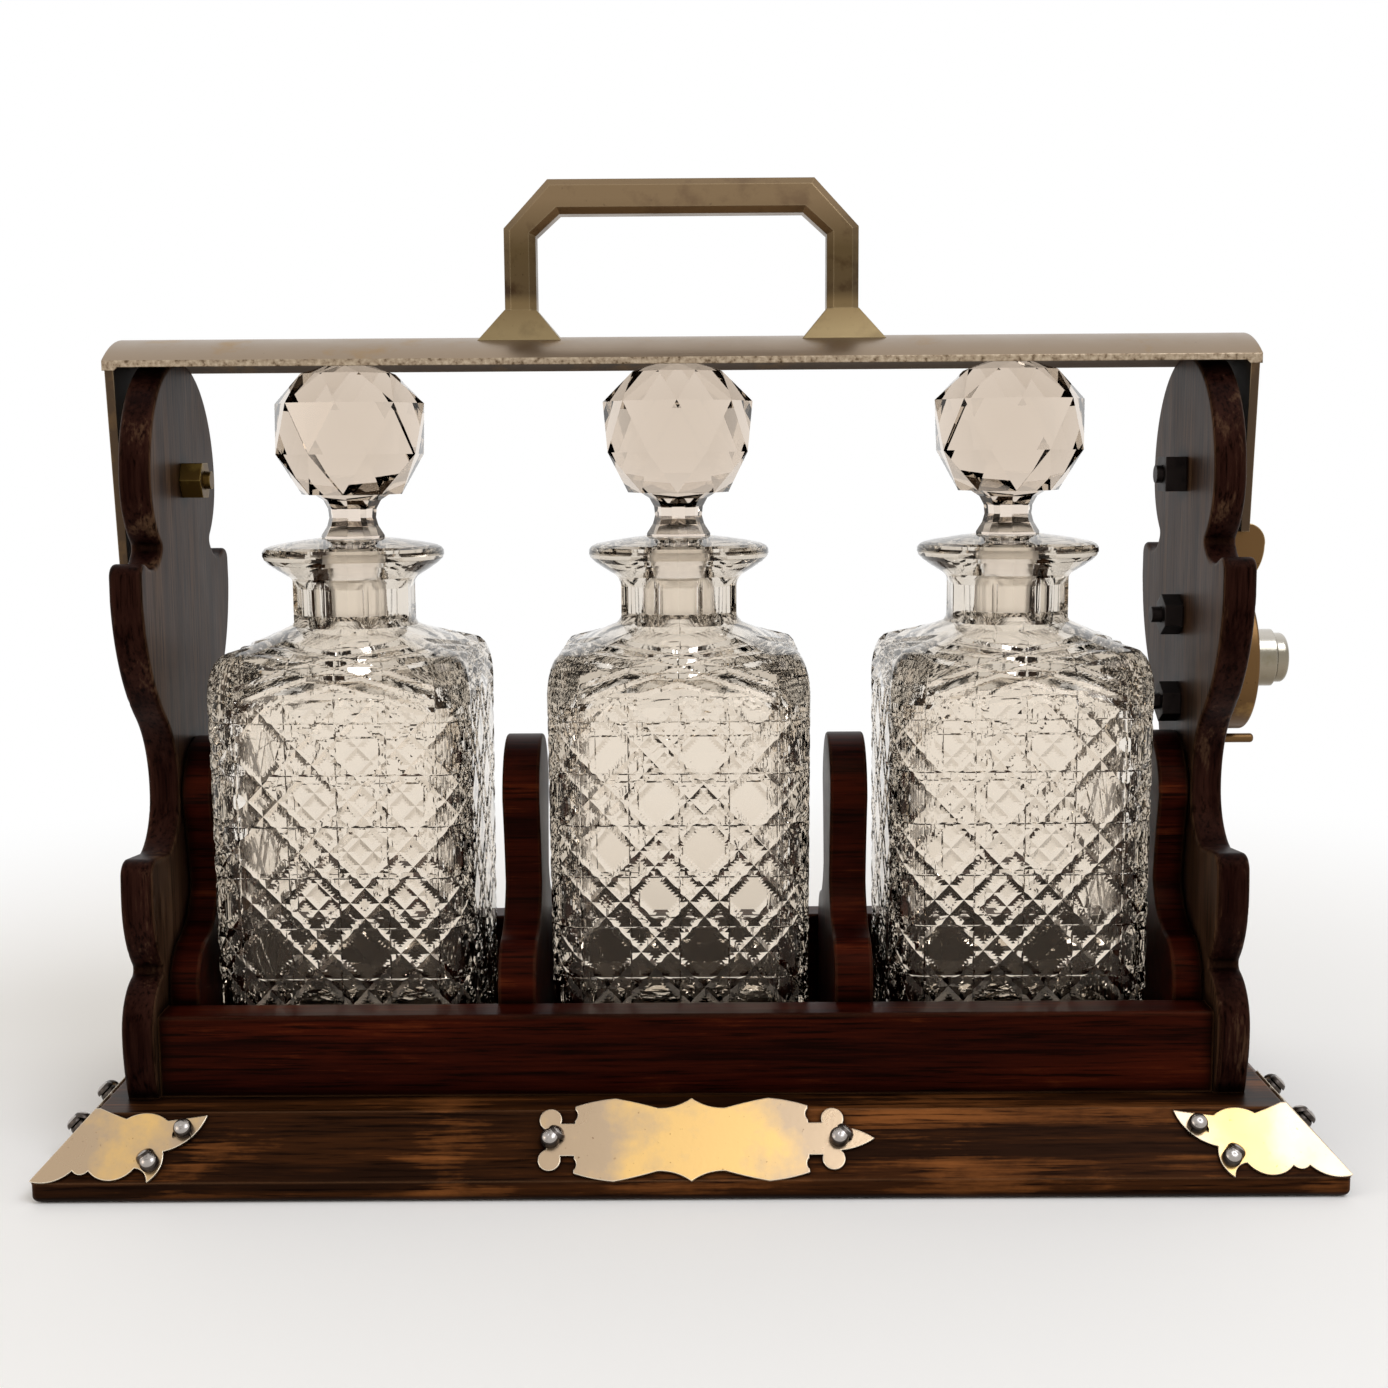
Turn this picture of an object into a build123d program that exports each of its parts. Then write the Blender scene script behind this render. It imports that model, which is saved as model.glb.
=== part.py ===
"""Antique three-bottle tantalus: a locking stand with three square cut-glass decanters.

Millimetres. X runs along the stand (the lock is at +X), Y to the back, Z up.
The origin is on the underside of the base board, in the middle of the stand.
"""
from build123d import *
import os
from math import atan2, cos, degrees, radians, sin, sqrt

os.makedirs("parts", exist_ok=True)

# ---------------------------------------------------------------- base board
base_end_margin = 7.0        # top of the base past the end boards, then at front and back
base_side_margin = 7.9
base_shift = 1.3             # the base stands out a little more at the right
nosing_height = 6.0          # upright edge under the bevel
nosing_round = 2.2
bevel_rise = 15.5
bevel_inset = 14.5
base_top = nosing_height + bevel_rise

# ---------------------------------------------------------------- decanters' places
decanter_side = 79.0
divider_thickness = 11.5
cheek_thickness = 9.2
well_side_clearance = 5.35   # decanter in the middle of its well to the divider
well_clearance = 1.0         # decanter to rail, front and back
well_shifts = (-2.0, -1.5, 0.0)     # each decanter stands a little off the middle of its well
glass_gap = 0.2              # under the standing glass
well_half_depth = decanter_side / 2 + well_clearance
well_width = decanter_side + 2 * well_side_clearance
decanter_pitch = well_width + divider_thickness                # 101.2 mm
cheek_inner_x = decanter_pitch + well_width / 2
board_inner_x = cheek_inner_x + cheek_thickness

# ---------------------------------------------------------------- glass
body_height = 116.3
body_corner_round = 9.7
shoulder_rise = 18.9
shoulder_belts = ((0.0, 1.0), (0.28, 0.988), (0.54, 0.947), (0.67, 0.855))    # rise and width
glass_wall = 6.0
glass_floor = 9.0
neck_radius = 19.3
neck_height = 15.5
neck_panels = 8
lip_radius = 28.2
lip_height = 11.5
lip_edge_height = 6.0
mouth_radius = 10.0
bore_taper = 0.9
stopper_plug_length = 24.0
stopper_seat_gap = 0.3
stem_waist_radius = 7.1
stem_foot_radius = 9.0
stem_top_radius = 11.0
stem_waist_rise = 4.4        # above the lip
stem_top_rise = 12.0
ball_rise = 33.6             # middle of the ball above the lip
ball_corners = 8
ball_belts = ((7.0, 19.4), (14.8, 16.8), (23.2, 7.75), (23.2, -7.75), (15.6, -20.1))
stand_z = base_top + glass_gap
body_top_z = stand_z + body_height
neck_root_z = body_top_z + shoulder_rise
lip_from_z = neck_root_z + neck_height
lip_top_z = lip_from_z + lip_height
ball_z = lip_top_z + ball_rise
ball_top_z = ball_z + ball_belts[0][1]

# ---------------------------------------------------------------- rails
rail_thickness = 12.5
front_rail_height = 24.5
back_rail_height = 30.6
rail_edge_round = 1.0

# ---------------------------------------------------------------- scrolled end boards
board_thickness = 9.5
board_edge_round = 1.2
board_outer_x = board_inner_x + board_thickness
foot_half = 57.6             # half widths of the outline, front to back
foot_bottom_half = 54.2
notch_half = 42.5
scroll_half = 52.6
waist_half = 20.2
shoulder_half = 49.8
neck_half = 26.8
lobe_radius = 36.5
foot_widest = 20.5           # heights above the base board
notch_height = 35.5
scroll_widest = 57.5
scroll_top = 71.1
waist_height = 85.0
shoulder_drop = 23.3         # shoulder below the pivot
scroll_corner_round = 5.0
shoulder_corner_round = 4.0
notch_round = 1.5
lid_round = 5.0
base_length = 2 * (board_outer_x + base_end_margin + bevel_inset)     # 372.5 mm
base_depth = 2 * (foot_half + base_side_margin + bevel_inset)         # 160 mm

# ---------------------------------------------------------------- dividers and cheeks
divider_lobe_radius = 18.5
divider_waist_half = 13.5
divider_waist_height = 55.0
divider_foot_rise = 28.5     # upright ends against the rails
divider_foot_spread = 9.5    # rounding in from the rails above them
cheek_nut_gap = 2.9          # rounded top of a cheek to the lock's lower nut
divider_blend_round = 3.0
divider_edge_round = 0.8

# ---------------------------------------------------------------- locking bar
bar_inner_radius = 40.6      # camber struck from the pivot
bar_thickness = 2.4
bar_stopper_gap = 5.7        # room above the stoppers for the bar to pass
bar_half_width = 24.0
arm_thickness = 2.6
arm_gap = 3.9                # end board to arm
arm_top_inset = 0.6          # strip edge to arm edge
arm_foot_half = 17.0
arm_sweep_radius = 34.0      # lower end, struck from the pivot
strip_overhang = 0.6
bar_outer_radius = bar_inner_radius + bar_thickness
pivot_z = ball_top_z + bar_stopper_gap - bar_inner_radius      # 202 mm
arm_inner_x = board_outer_x + arm_gap
arm_outer_x = arm_inner_x + arm_thickness
strip_half_length = arm_outer_x + strip_overhang

# ---------------------------------------------------------------- handle
handle_rise = 90.0           # top of the grip above the pivot
grip_thickness = 10.4
handle_half_length = 54.0
handle_flat_half = 40.5
handle_corner_drop = 14.5
leg_width = 9.7
leg_depth = 11.0
foot_half_length = 12.7
foot_half_depth = 11.0
flare_height = 8.0
handle_edge_round = 2.0
handle_screw_radius = 2.0
handle_screw_head_radius = 3.6
handle_screw_head = 1.3
handle_screw_depth = 7.0
handle_top_z = pivot_z + handle_rise

# ---------------------------------------------------------------- pivots
pivot_bolt_radius = 2.75
pivot_head_radius = 5.4
pivot_head_thickness = 1.8
pivot_bolt_stand_out = 2.0   # past the nut
nut_thickness = 6.5
nut_across_flats = 10.6
washer_radius = 8.0
running_clearance = 0.08
face_clearance = 0.12
fixed_clearance = 0.10

# ---------------------------------------------------------------- lock
lock_drop = 57.5             # lock centre below the pivot
lock_z = pivot_z - lock_drop
case_radius = 22.3
case_thickness = 10.0
case_wall = 2.0
barrel_radius = 8.95
barrel_nose_radius = 7.75
barrel_length = 13.6
barrel_nose_length = 3.8
barrel_groove = 0.5
plug_radius = 4.7
plug_recess = 0.3
keyhole_width = 1.4
keyhole_height = 6.4
keyhole_depth = 6.0
cam_radius = 6.0
cam_thickness = 1.9
cam_pin_radius = 1.2
cam_throw = 4.0
cam_slot_clearance = 0.25
bolt_thickness = 3.8
bolt_half_width = 7.5
tongue_half_width = 5.0
bolt_back_gap = 1.7          # end board to lock bolt
slide_clearance = 0.2
stud_radius = 2.5
stud_spacing = 27.5
stud_stand_out = 3.2
stud_nut_thickness = 5.6
stud_nut_across_flats = 11.0
tongue_setback = 0.7         # drawn bolt below the top of the case
peg_radius = 1.45
peg_length = 15.0
peg_drop = 25.6              # below the lock centre
case_outer_x = board_outer_x + case_thickness
barrel_end_x = case_outer_x + barrel_length
lock_bolt_travel = cam_throw * sqrt(2)

# ---------------------------------------------------------------- lock keeper on the bar
keeper_half_width = 14.0
keeper_bulge = 6.0           # past the arm
keeper_top_drop = 14.8       # below the pivot
keeper_lap = 2.4             # over the arm
keeper_board_gap = 0.4
socket_clearance = 0.45
socket_depth = 6.5

# ---------------------------------------------------------------- cutting on the decanters' sides
cell_width = 14.4            # one square of the cane pattern
cell_height = 15.6
mitre_depth = 0.8
mitre_field_half = 27.0      # the cut field on each side
mitre_field_foot = 5.0
mitre_field_top = 104.0
rising_mitre = 0.7           # cells from the middle, along the foot, to the first mitre
falling_mitre = 0.3

# ---------------------------------------------------------------- brass mounts
mount_thickness = 0.9
nail_radius = 2.75
nail_height = 1.5
nail_taper = 30.0
mount_reach = 47.2           # corner mount's longest leaf, from the corner
plate_half_length = 33.4     # the tablet without its ends
plate_height = 24.8
plate_offset = 0.4           # to the right of the base's middle
petal_reach = 10.2           # past the tablet
petal_radius = 3.2
bite_radius = 2.3            # scrolls cut in between the tablet and the petals
plate_tip = 52.2             # pointed end, on the right only
plate_nail_spacing = 82.4
plate_nail_shift = 0.9       # both nails, to the right of the plate's middle
board_screw_radius = 2.2
board_screw_head_radius = 4.2
board_screw_head = 2.6
board_screw_length = 38.0
board_screw_spacing = 64.0


def save(part, label):
    """Name a finished piece and write its file."""
    part.label = label
    export_step(part, f"parts/{label}.step")


def disc(x_from, x_to, radius, y=0.0, z=0.0, mode=Mode.ADD):
    """A round bar along X between two X positions, inside the current part."""
    with Locations((x_from, y, z)):
        Cylinder(radius, x_to - x_from, rotation=(0, 90, 0),
                 align=(Align.CENTER, Align.CENTER, Align.MIN), mode=mode)


# ================================================================ base board
screw_places = [(side * (board_inner_x + board_thickness / 2), row * board_screw_spacing / 2)
                for side in (-1, 1) for row in (-1, 1)]

with BuildPart() as base_board:
    with Locations((base_shift, 0, 0)):
        Box(base_length, base_depth, nosing_height,
            align=(Align.CENTER, Align.CENTER, Align.MIN))
    fillet(base_board.edges().filter_by(Axis.Z), radius=1.0)
    fillet(base_board.faces().sort_by(Axis.Z)[0].edges(), radius=nosing_round)
    with BuildSketch(Plane((base_shift, 0, nosing_height))):
        Rectangle(base_length, base_depth)
    with BuildSketch(Plane((base_shift, 0, base_top))):
        Rectangle(base_length - 2 * bevel_inset, base_depth - 2 * bevel_inset)
    loft(ruled=True)
    with Locations(*[Location((x, y, 0), (180, 0, 0)) for x, y in screw_places]):
        CounterBoreHole(radius=board_screw_radius + fixed_clearance,
                        counter_bore_radius=board_screw_head_radius + fixed_clearance,
                        counter_bore_depth=board_screw_head + fixed_clearance)
save(base_board.part, "base_board")

# wood screws up through the base board into the end boards
with BuildPart() as board_screws:
    with Locations(*[(x, y, fixed_clearance) for x, y in screw_places]):
        Cylinder(board_screw_head_radius, board_screw_head,
                 align=(Align.CENTER, Align.CENTER, Align.MIN))
        Cylinder(board_screw_radius, board_screw_length,
                 align=(Align.CENTER, Align.CENTER, Align.MIN))
save(board_screws.part, "board_screws")

# ================================================================ rails
for label, side, rail_height in (("front_rail", -1, front_rail_height),
                                 ("back_rail", 1, back_rail_height)):
    with BuildPart() as rail:
        with Locations((0, side * (well_half_depth + rail_thickness / 2), base_top)):
            Box(2 * board_inner_x, rail_thickness, rail_height,
                align=(Align.CENTER, Align.CENTER, Align.MIN))
        fillet(rail.faces().sort_by(Axis.Z)[-1].edges().filter_by(Axis.X), radius=rail_edge_round)
    save(rail.part, label)


# ================================================================ end boards
def end_board(inner_x):
    """One scrolled end board, its outline the same at the front and the back."""
    shoulder_z = pivot_z - shoulder_drop
    with BuildPart() as board:
        with BuildSketch(Plane.YZ.offset(inner_x)) as outline:
            with BuildLine():
                foot = Line((0, base_top), (foot_bottom_half, base_top))
                swell = ThreePointArc(foot @ 1, (foot_half - 0.4, base_top + foot_widest * 0.56),
                                      (foot_half, base_top + foot_widest))
                ankle = TangentArc(swell @ 1, (notch_half, base_top + notch_height),
                                   tangent=swell % 1)
                scroll = ThreePointArc(ankle @ 1,
                                       (scroll_half - 2.0, base_top + scroll_widest - 10.5),
                                       (scroll_half, base_top + scroll_widest))
                scroll_edge = TangentArc(scroll @ 1, (scroll_half - 1.2, base_top + scroll_top),
                                         tangent=scroll % 1)
                scroll_lid = Line(scroll_edge @ 1,
                                  (waist_half + 12.3, base_top + scroll_top - 1.8))
                waist_in = ThreePointArc(scroll_lid @ 1,
                                         (waist_half + 2.8, base_top + waist_height - 8.5),
                                         (waist_half, base_top + waist_height))
                waist_out = TangentArc(waist_in @ 1,
                                       (waist_half + 10.8, base_top + waist_height + 25.0),
                                       tangent=waist_in % 1)
                hip = TangentArc(waist_out @ 1, (shoulder_half, shoulder_z - 10.8),
                                 tangent=waist_out % 1)
                cheek = Line(hip @ 1, (shoulder_half - 0.3, shoulder_z))
                ledge = Line(cheek @ 1, (neck_half + 16.7, shoulder_z))
                scoop = ThreePointArc(ledge @ 1, (neck_half + 8.2, shoulder_z - 1.8),
                                      (neck_half, shoulder_z + 4.1))
                throat = ThreePointArc(scoop @ 1, (lobe_radius - 2.3, pivot_z - 10.4),
                                       (lobe_radius, pivot_z))
                diagonal = lobe_radius * sqrt(0.5)
                ThreePointArc(throat @ 1, (diagonal, pivot_z + diagonal),
                              (0, pivot_z + lobe_radius))
                mirror(about=Plane.YZ)
            make_face()
            for place, radius in ((scroll_edge @ 1, scroll_corner_round),
                                  (cheek @ 1, shoulder_corner_round),
                                  (ankle @ 1, notch_round), (scoop @ 1, notch_round),
                                  (scroll_lid @ 1, lid_round), (ledge @ 1, lid_round)):
                fillet([v for v in outline.vertices() if abs(v.Y - place.Y) < 0.01
                        and abs(abs(v.X) - place.X) < 0.01], radius=radius)
        extrude(amount=board_thickness)
        fillet([edge for edge in board.faces().filter_by(Axis.X).edges()
                if edge.center().Z > base_top + 0.01], radius=board_edge_round)
        # pivot bolt hole, then the screw holes up from the foot
        disc(inner_x, inner_x + board_thickness, pivot_bolt_radius + fixed_clearance,
             z=pivot_z, mode=Mode.SUBTRACT)
        middle_x = inner_x + board_thickness / 2
        with Locations(*[(middle_x, row * board_screw_spacing / 2, base_top) for row in (-1, 1)]):
            Cylinder(board_screw_radius + fixed_clearance,
                     board_screw_length + 2 * fixed_clearance - base_top,
                     align=(Align.CENTER, Align.CENTER, Align.MIN), mode=Mode.SUBTRACT)
        if inner_x > 0:
            for row in (-1, 1):
                disc(inner_x, inner_x + board_thickness, stud_radius + fixed_clearance,
                     z=lock_z + row * stud_spacing / 2, mode=Mode.SUBTRACT)
            disc(inner_x, inner_x + board_thickness, peg_radius + fixed_clearance,
                 z=lock_z - peg_drop, mode=Mode.SUBTRACT)
    return board.part


save(end_board(-board_outer_x), "end_board_left")
save(end_board(board_inner_x), "end_board_right")


# ================================================================ dividers and cheeks
def spade_board(from_x, thickness):
    """A spade-topped board that stands in the tray between two decanters."""
    lower_nut_z = lock_z - stud_spacing / 2 - stud_nut_across_flats / sqrt(3)
    lobe_z = lower_nut_z - cheek_nut_gap - divider_lobe_radius
    waist_z = base_top + divider_waist_height
    foot_z = base_top + divider_foot_rise
    with BuildPart() as board:
        with BuildSketch(Plane.YZ.offset(from_x)) as outline:
            with BuildLine():
                floor = Line((0, base_top), (well_half_depth, base_top))
                upright = Line(floor @ 1, (well_half_depth, foot_z))
                foot_gap = waist_z - foot_z
                spread_y = well_half_depth - divider_foot_spread
                roll = TangentArc(upright @ 1, (spread_y, foot_z + 0.49 * foot_gap),
                                  tangent=upright % 1)
                scoop = ThreePointArc(roll @ 1,
                                      (divider_waist_half + 0.3 * (spread_y - divider_waist_half),
                                       foot_z + 0.7 * foot_gap),
                                      (divider_waist_half, waist_z))
                flank = ThreePointArc(scoop @ 1,
                                      ((divider_waist_half + divider_lobe_radius) / 2 - 0.6,
                                       (waist_z + lobe_z) / 2),
                                      (divider_lobe_radius, lobe_z))
                diagonal = divider_lobe_radius * sqrt(0.5)
                ThreePointArc(flank @ 1, (diagonal, lobe_z + diagonal),
                              (0, lobe_z + divider_lobe_radius))
                mirror(about=Plane.YZ)
            make_face()
            for place in (roll @ 1, scoop @ 1, flank @ 1):
                fillet([v for v in outline.vertices() if abs(v.Y - place.Y) < 0.01
                        and abs(abs(v.X) - place.X) < 0.01], radius=divider_blend_round)
        extrude(amount=thickness)
        fillet([edge for edge in board.faces().filter_by(Axis.X).edges()
                if edge.center().Z > foot_z + 0.01], radius=divider_edge_round)
    return board.part


for label, side in (("left", -1), ("right", 1)):
    cheek_from = cheek_inner_x if side > 0 else -board_inner_x
    save(spade_board(cheek_from, cheek_thickness), f"cheek_{label}")
    divider_from = side * decanter_pitch / 2 - divider_thickness / 2
    save(spade_board(divider_from, divider_thickness), f"divider_{label}")


# ================================================================ locking bar
def polar_z(radius, half_width):
    """Height of an arc struck from the pivot, at a distance from the middle plane."""
    return pivot_z + sqrt(radius ** 2 - half_width ** 2)


def bar_arc(radius, half_width):
    """An arc of the bar's camber, from the back edge to the front edge."""
    return ThreePointArc((half_width, polar_z(radius, half_width)), (0, pivot_z + radius),
                         (-half_width, polar_z(radius, half_width)))


bar_screw_places = [side * (handle_half_length - leg_width / 2) for side in (-1, 1)]

with BuildPart() as bar_strip:
    with BuildSketch(Plane.YZ.offset(-strip_half_length)):
        with BuildLine():
            top = bar_arc(bar_outer_radius, bar_half_width)
            under = bar_arc(bar_inner_radius, bar_half_width)
            Line(top @ 0, under @ 0)
            Line(top @ 1, under @ 1)
        make_face()
    extrude(amount=2 * strip_half_length)
    with Locations(*[(x, 0, pivot_z + bar_outer_radius) for x in bar_screw_places]):
        Cylinder(handle_screw_radius + fixed_clearance, 4 * bar_thickness, mode=Mode.SUBTRACT)
save(bar_strip.part, "bar_strip")


def bar_arm(from_x, tail_z):
    """A flat arm, tapering from the strip down past its pivot."""
    top_half = bar_half_width - arm_top_inset
    with BuildPart() as arm:
        with BuildSketch(Plane.YZ.offset(from_x)):
            with BuildLine():
                top = bar_arc(bar_inner_radius, top_half)
                end_half = arm_foot_half
                end_z = pivot_z - sqrt(arm_sweep_radius ** 2 - arm_foot_half ** 2)
                tail = ThreePointArc((end_half, end_z), (0, pivot_z - arm_sweep_radius),
                                     (-end_half, end_z))
                Line(top @ 0, tail @ 0)
                Line(top @ 1, tail @ 1)
            make_face()
        extrude(amount=arm_thickness)
        disc(from_x, from_x + arm_thickness, pivot_bolt_radius + running_clearance,
             z=pivot_z, mode=Mode.SUBTRACT)
        split(bisect_by=Plane.XY.offset(tail_z), keep=Keep.TOP)
    return arm.part


keeper_top_z = pivot_z - keeper_top_drop
save(bar_arm(-arm_outer_x, pivot_z - arm_sweep_radius), "arm_left")
save(bar_arm(arm_inner_x, keeper_top_z - keeper_lap), "arm_right")

# hollow keeper under the right arm: the lock bolt rises into it
bolt_from_x = board_outer_x + bolt_back_gap
bolt_to_x = bolt_from_x + bolt_thickness
keeper_from_x = board_outer_x + keeper_board_gap
with BuildPart() as lock_keeper:
    with BuildSketch(Plane.XZ.offset(-keeper_half_width)):
        with BuildLine():
            seat_z = keeper_top_z - keeper_lap
            back = Line((keeper_from_x, pivot_z - arm_sweep_radius - 2), (keeper_from_x, seat_z))
            seat = Line(back @ 1, (arm_outer_x, seat_z))
            lap = Line(seat @ 1, (arm_outer_x, keeper_top_z))
            nose = ThreePointArc(lap @ 1, (arm_outer_x + keeper_bulge * 0.8, seat_z + 0.2),
                                 (arm_outer_x + keeper_bulge, seat_z - 4.6))
            chin = ThreePointArc(nose @ 1, (arm_outer_x + keeper_bulge * 0.85, seat_z - 9.5),
                                 (arm_outer_x + keeper_bulge * 0.36, seat_z - 14.4))
            Polyline(chin @ 1, (arm_outer_x + keeper_bulge * 0.36,
                                pivot_z - arm_sweep_radius - 2), back @ 0)
        make_face()
    extrude(amount=2 * keeper_half_width)
    disc(keeper_from_x - 1, arm_outer_x + keeper_bulge + 1, arm_sweep_radius, z=pivot_z,
         mode=Mode.INTERSECT)
    socket_z = pivot_z - arm_sweep_radius + socket_depth
    with Locations(((bolt_from_x + bolt_to_x) / 2, 0, socket_z)):
        Box(bolt_thickness + 2 * socket_clearance,
            2 * (tongue_half_width + socket_clearance), 3 * socket_depth,
            align=(Align.CENTER, Align.CENTER, Align.MAX), mode=Mode.SUBTRACT)
save(lock_keeper.part, "lock_keeper")

# ================================================================ handle
bar_seat_z = polar_z(bar_outer_radius, foot_half_depth)
grip_under_z = handle_top_z - grip_thickness
corner_z = handle_top_z - handle_corner_drop
leg_inner = handle_half_length - leg_width
with BuildPart() as handle:
    with BuildSketch(Plane.XZ.offset(-leg_depth / 2)):
        with BuildLine():
            flat = Line((0, handle_top_z), (handle_flat_half, handle_top_z))
            corner = Line(flat @ 1, (handle_half_length, corner_z))
            outside = Line(corner @ 1, (handle_half_length, bar_seat_z))
            sole = Line(outside @ 1, (leg_inner, bar_seat_z))
            inside = Line(sole @ 1, (leg_inner, corner_z - 2.5))
            inner_corner = Line(inside @ 1, (handle_flat_half - 3.5, grip_under_z))
            Line(inner_corner @ 1, (0, grip_under_z))
            mirror(about=Plane.YZ)
        make_face()
    extrude(amount=leg_depth)
    chamfer(handle.edges().filter_by(Axis.Y, reverse=True), length=handle_edge_round)
    # spreading feet, hollowed underneath to the camber of the strip
    foot_x = handle_half_length - leg_width / 2
    for side in (-1, 1):
        with BuildSketch(Plane.XY.offset(bar_seat_z)):
            with Locations((side * foot_x, 0)):
                Rectangle(2 * foot_half_length, 2 * foot_half_depth)
        with BuildSketch(Plane.XY.offset(pivot_z + bar_outer_radius + flare_height)):
            with Locations((side * foot_x, 0)):
                Rectangle(leg_width, leg_depth)
        loft(ruled=True)
    disc(-handle_half_length - foot_half_length, handle_half_length + foot_half_length,
         bar_outer_radius, z=pivot_z, mode=Mode.SUBTRACT)
    with Locations(*[(x, 0, pivot_z + bar_inner_radius) for x in bar_screw_places]):
        Cylinder(handle_screw_radius + fixed_clearance,
                 handle_screw_depth + bar_thickness + fixed_clearance,
                 align=(Align.CENTER, Align.CENTER, Align.MIN), mode=Mode.SUBTRACT)
save(handle.part, "handle")

# screws up through the strip into the handle's feet
head_seat_z = polar_z(bar_inner_radius, handle_screw_head_radius)
with BuildPart() as handle_screws:
    with Locations(*[(x, 0, head_seat_z) for x in bar_screw_places]):
        Cylinder(handle_screw_head_radius, handle_screw_head,
                 align=(Align.CENTER, Align.CENTER, Align.MAX))
        Cylinder(handle_screw_radius, handle_screw_depth + bar_thickness,
                 align=(Align.CENTER, Align.CENTER, Align.MIN))
    fillet(handle_screws.faces().filter_by(Axis.Z).group_by(Axis.Z)[0].edges(),
           radius=handle_screw_head * 0.6)
save(handle_screws.part, "handle_screws")

# ================================================================ pivots
for label, side in (("left", -1), ("right", 1)):
    shank_end = board_inner_x - nut_thickness - pivot_bolt_stand_out
    head_from = arm_outer_x + face_clearance
    with BuildPart() as pivot_bolt:
        disc(shank_end, head_from + pivot_head_thickness, pivot_bolt_radius, z=pivot_z)
        disc(head_from, head_from + pivot_head_thickness, pivot_head_radius, z=pivot_z)
        fillet(pivot_bolt.faces().sort_by(Axis.X)[-1].edges(), radius=pivot_head_thickness * 0.6)
        if side < 0:
            mirror(about=Plane.YZ, mode=Mode.REPLACE)
    save(pivot_bolt.part, f"pivot_bolt_{label}")

    with BuildPart() as pivot_nut:
        with BuildSketch(Plane.YZ.offset(board_inner_x - nut_thickness)):
            with Locations((0, pivot_z)):
                if side < 0:
                    RegularPolygon(nut_across_flats / 2, 6, major_radius=False)
                else:
                    Rectangle(nut_across_flats, nut_across_flats)
                Circle(pivot_bolt_radius + fixed_clearance, mode=Mode.SUBTRACT)
        extrude(amount=nut_thickness)
        if side < 0:
            mirror(about=Plane.YZ, mode=Mode.REPLACE)
    save(pivot_nut.part, f"pivot_nut_{label}")

with BuildPart() as pivot_washers:
    disc(board_outer_x, arm_inner_x - face_clearance, washer_radius, z=pivot_z)
    disc(board_outer_x, arm_inner_x, pivot_bolt_radius + fixed_clearance, z=pivot_z,
         mode=Mode.SUBTRACT)
    mirror(about=Plane.YZ)
save(pivot_washers.part, "pivot_washers")

# ================================================================ lock
stud_rows = [lock_z + row * stud_spacing / 2 for row in (-1, 1)]
with BuildPart() as lock_case:
    disc(board_outer_x, case_outer_x, case_radius, z=lock_z)
    fillet(lock_case.faces().sort_by(Axis.X)[-1].edges(), radius=0.8)
    disc(board_outer_x, case_outer_x - case_wall, case_radius - case_wall, z=lock_z,
         mode=Mode.SUBTRACT)
    disc(board_outer_x, case_outer_x, plug_radius + running_clearance, z=lock_z,
         mode=Mode.SUBTRACT)
    with Locations(((bolt_from_x + bolt_to_x) / 2, 0, lock_z)):
        Box(bolt_thickness + 2 * slide_clearance, 2 * (tongue_half_width + slide_clearance),
            case_radius + 1, align=(Align.CENTER, Align.CENTER, Align.MIN), mode=Mode.SUBTRACT)
save(lock_case.part, "lock_case")

with BuildPart() as lock_barrel:
    nose_from = barrel_end_x - barrel_nose_length
    disc(case_outer_x, nose_from - barrel_groove, barrel_radius, z=lock_z)
    disc(case_outer_x, nose_from, barrel_nose_radius - 0.6, z=lock_z)
    disc(nose_from, barrel_end_x, barrel_nose_radius, z=lock_z)
    fillet(lock_barrel.faces().sort_by(Axis.X)[-1].edges(), radius=1.6)
    disc(case_outer_x, barrel_end_x, plug_radius + running_clearance, z=lock_z,
         mode=Mode.SUBTRACT)
save(lock_barrel.part, "lock_barrel")

cavity_end_x = case_outer_x - case_wall
cam_to_x = cavity_end_x - slide_clearance
cam_from_x = cam_to_x - cam_thickness
pin_y = cam_throw * sqrt(0.5)
pin_z = lock_z - cam_throw * sqrt(0.5)
with BuildPart() as lock_plug:
    disc(cam_to_x, barrel_end_x - plug_recess, plug_radius, z=lock_z)
    disc(cam_from_x, cam_to_x, cam_radius, z=lock_z)
    disc(bolt_from_x + slide_clearance, cam_from_x, cam_pin_radius, y=pin_y, z=pin_z)
    with Locations((barrel_end_x - plug_recess, 0, lock_z)):
        Box(keyhole_depth, keyhole_width, keyhole_height,
            align=(Align.MAX, Align.CENTER, Align.CENTER), mode=Mode.SUBTRACT)
save(lock_plug.part, "lock_plug")

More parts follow.
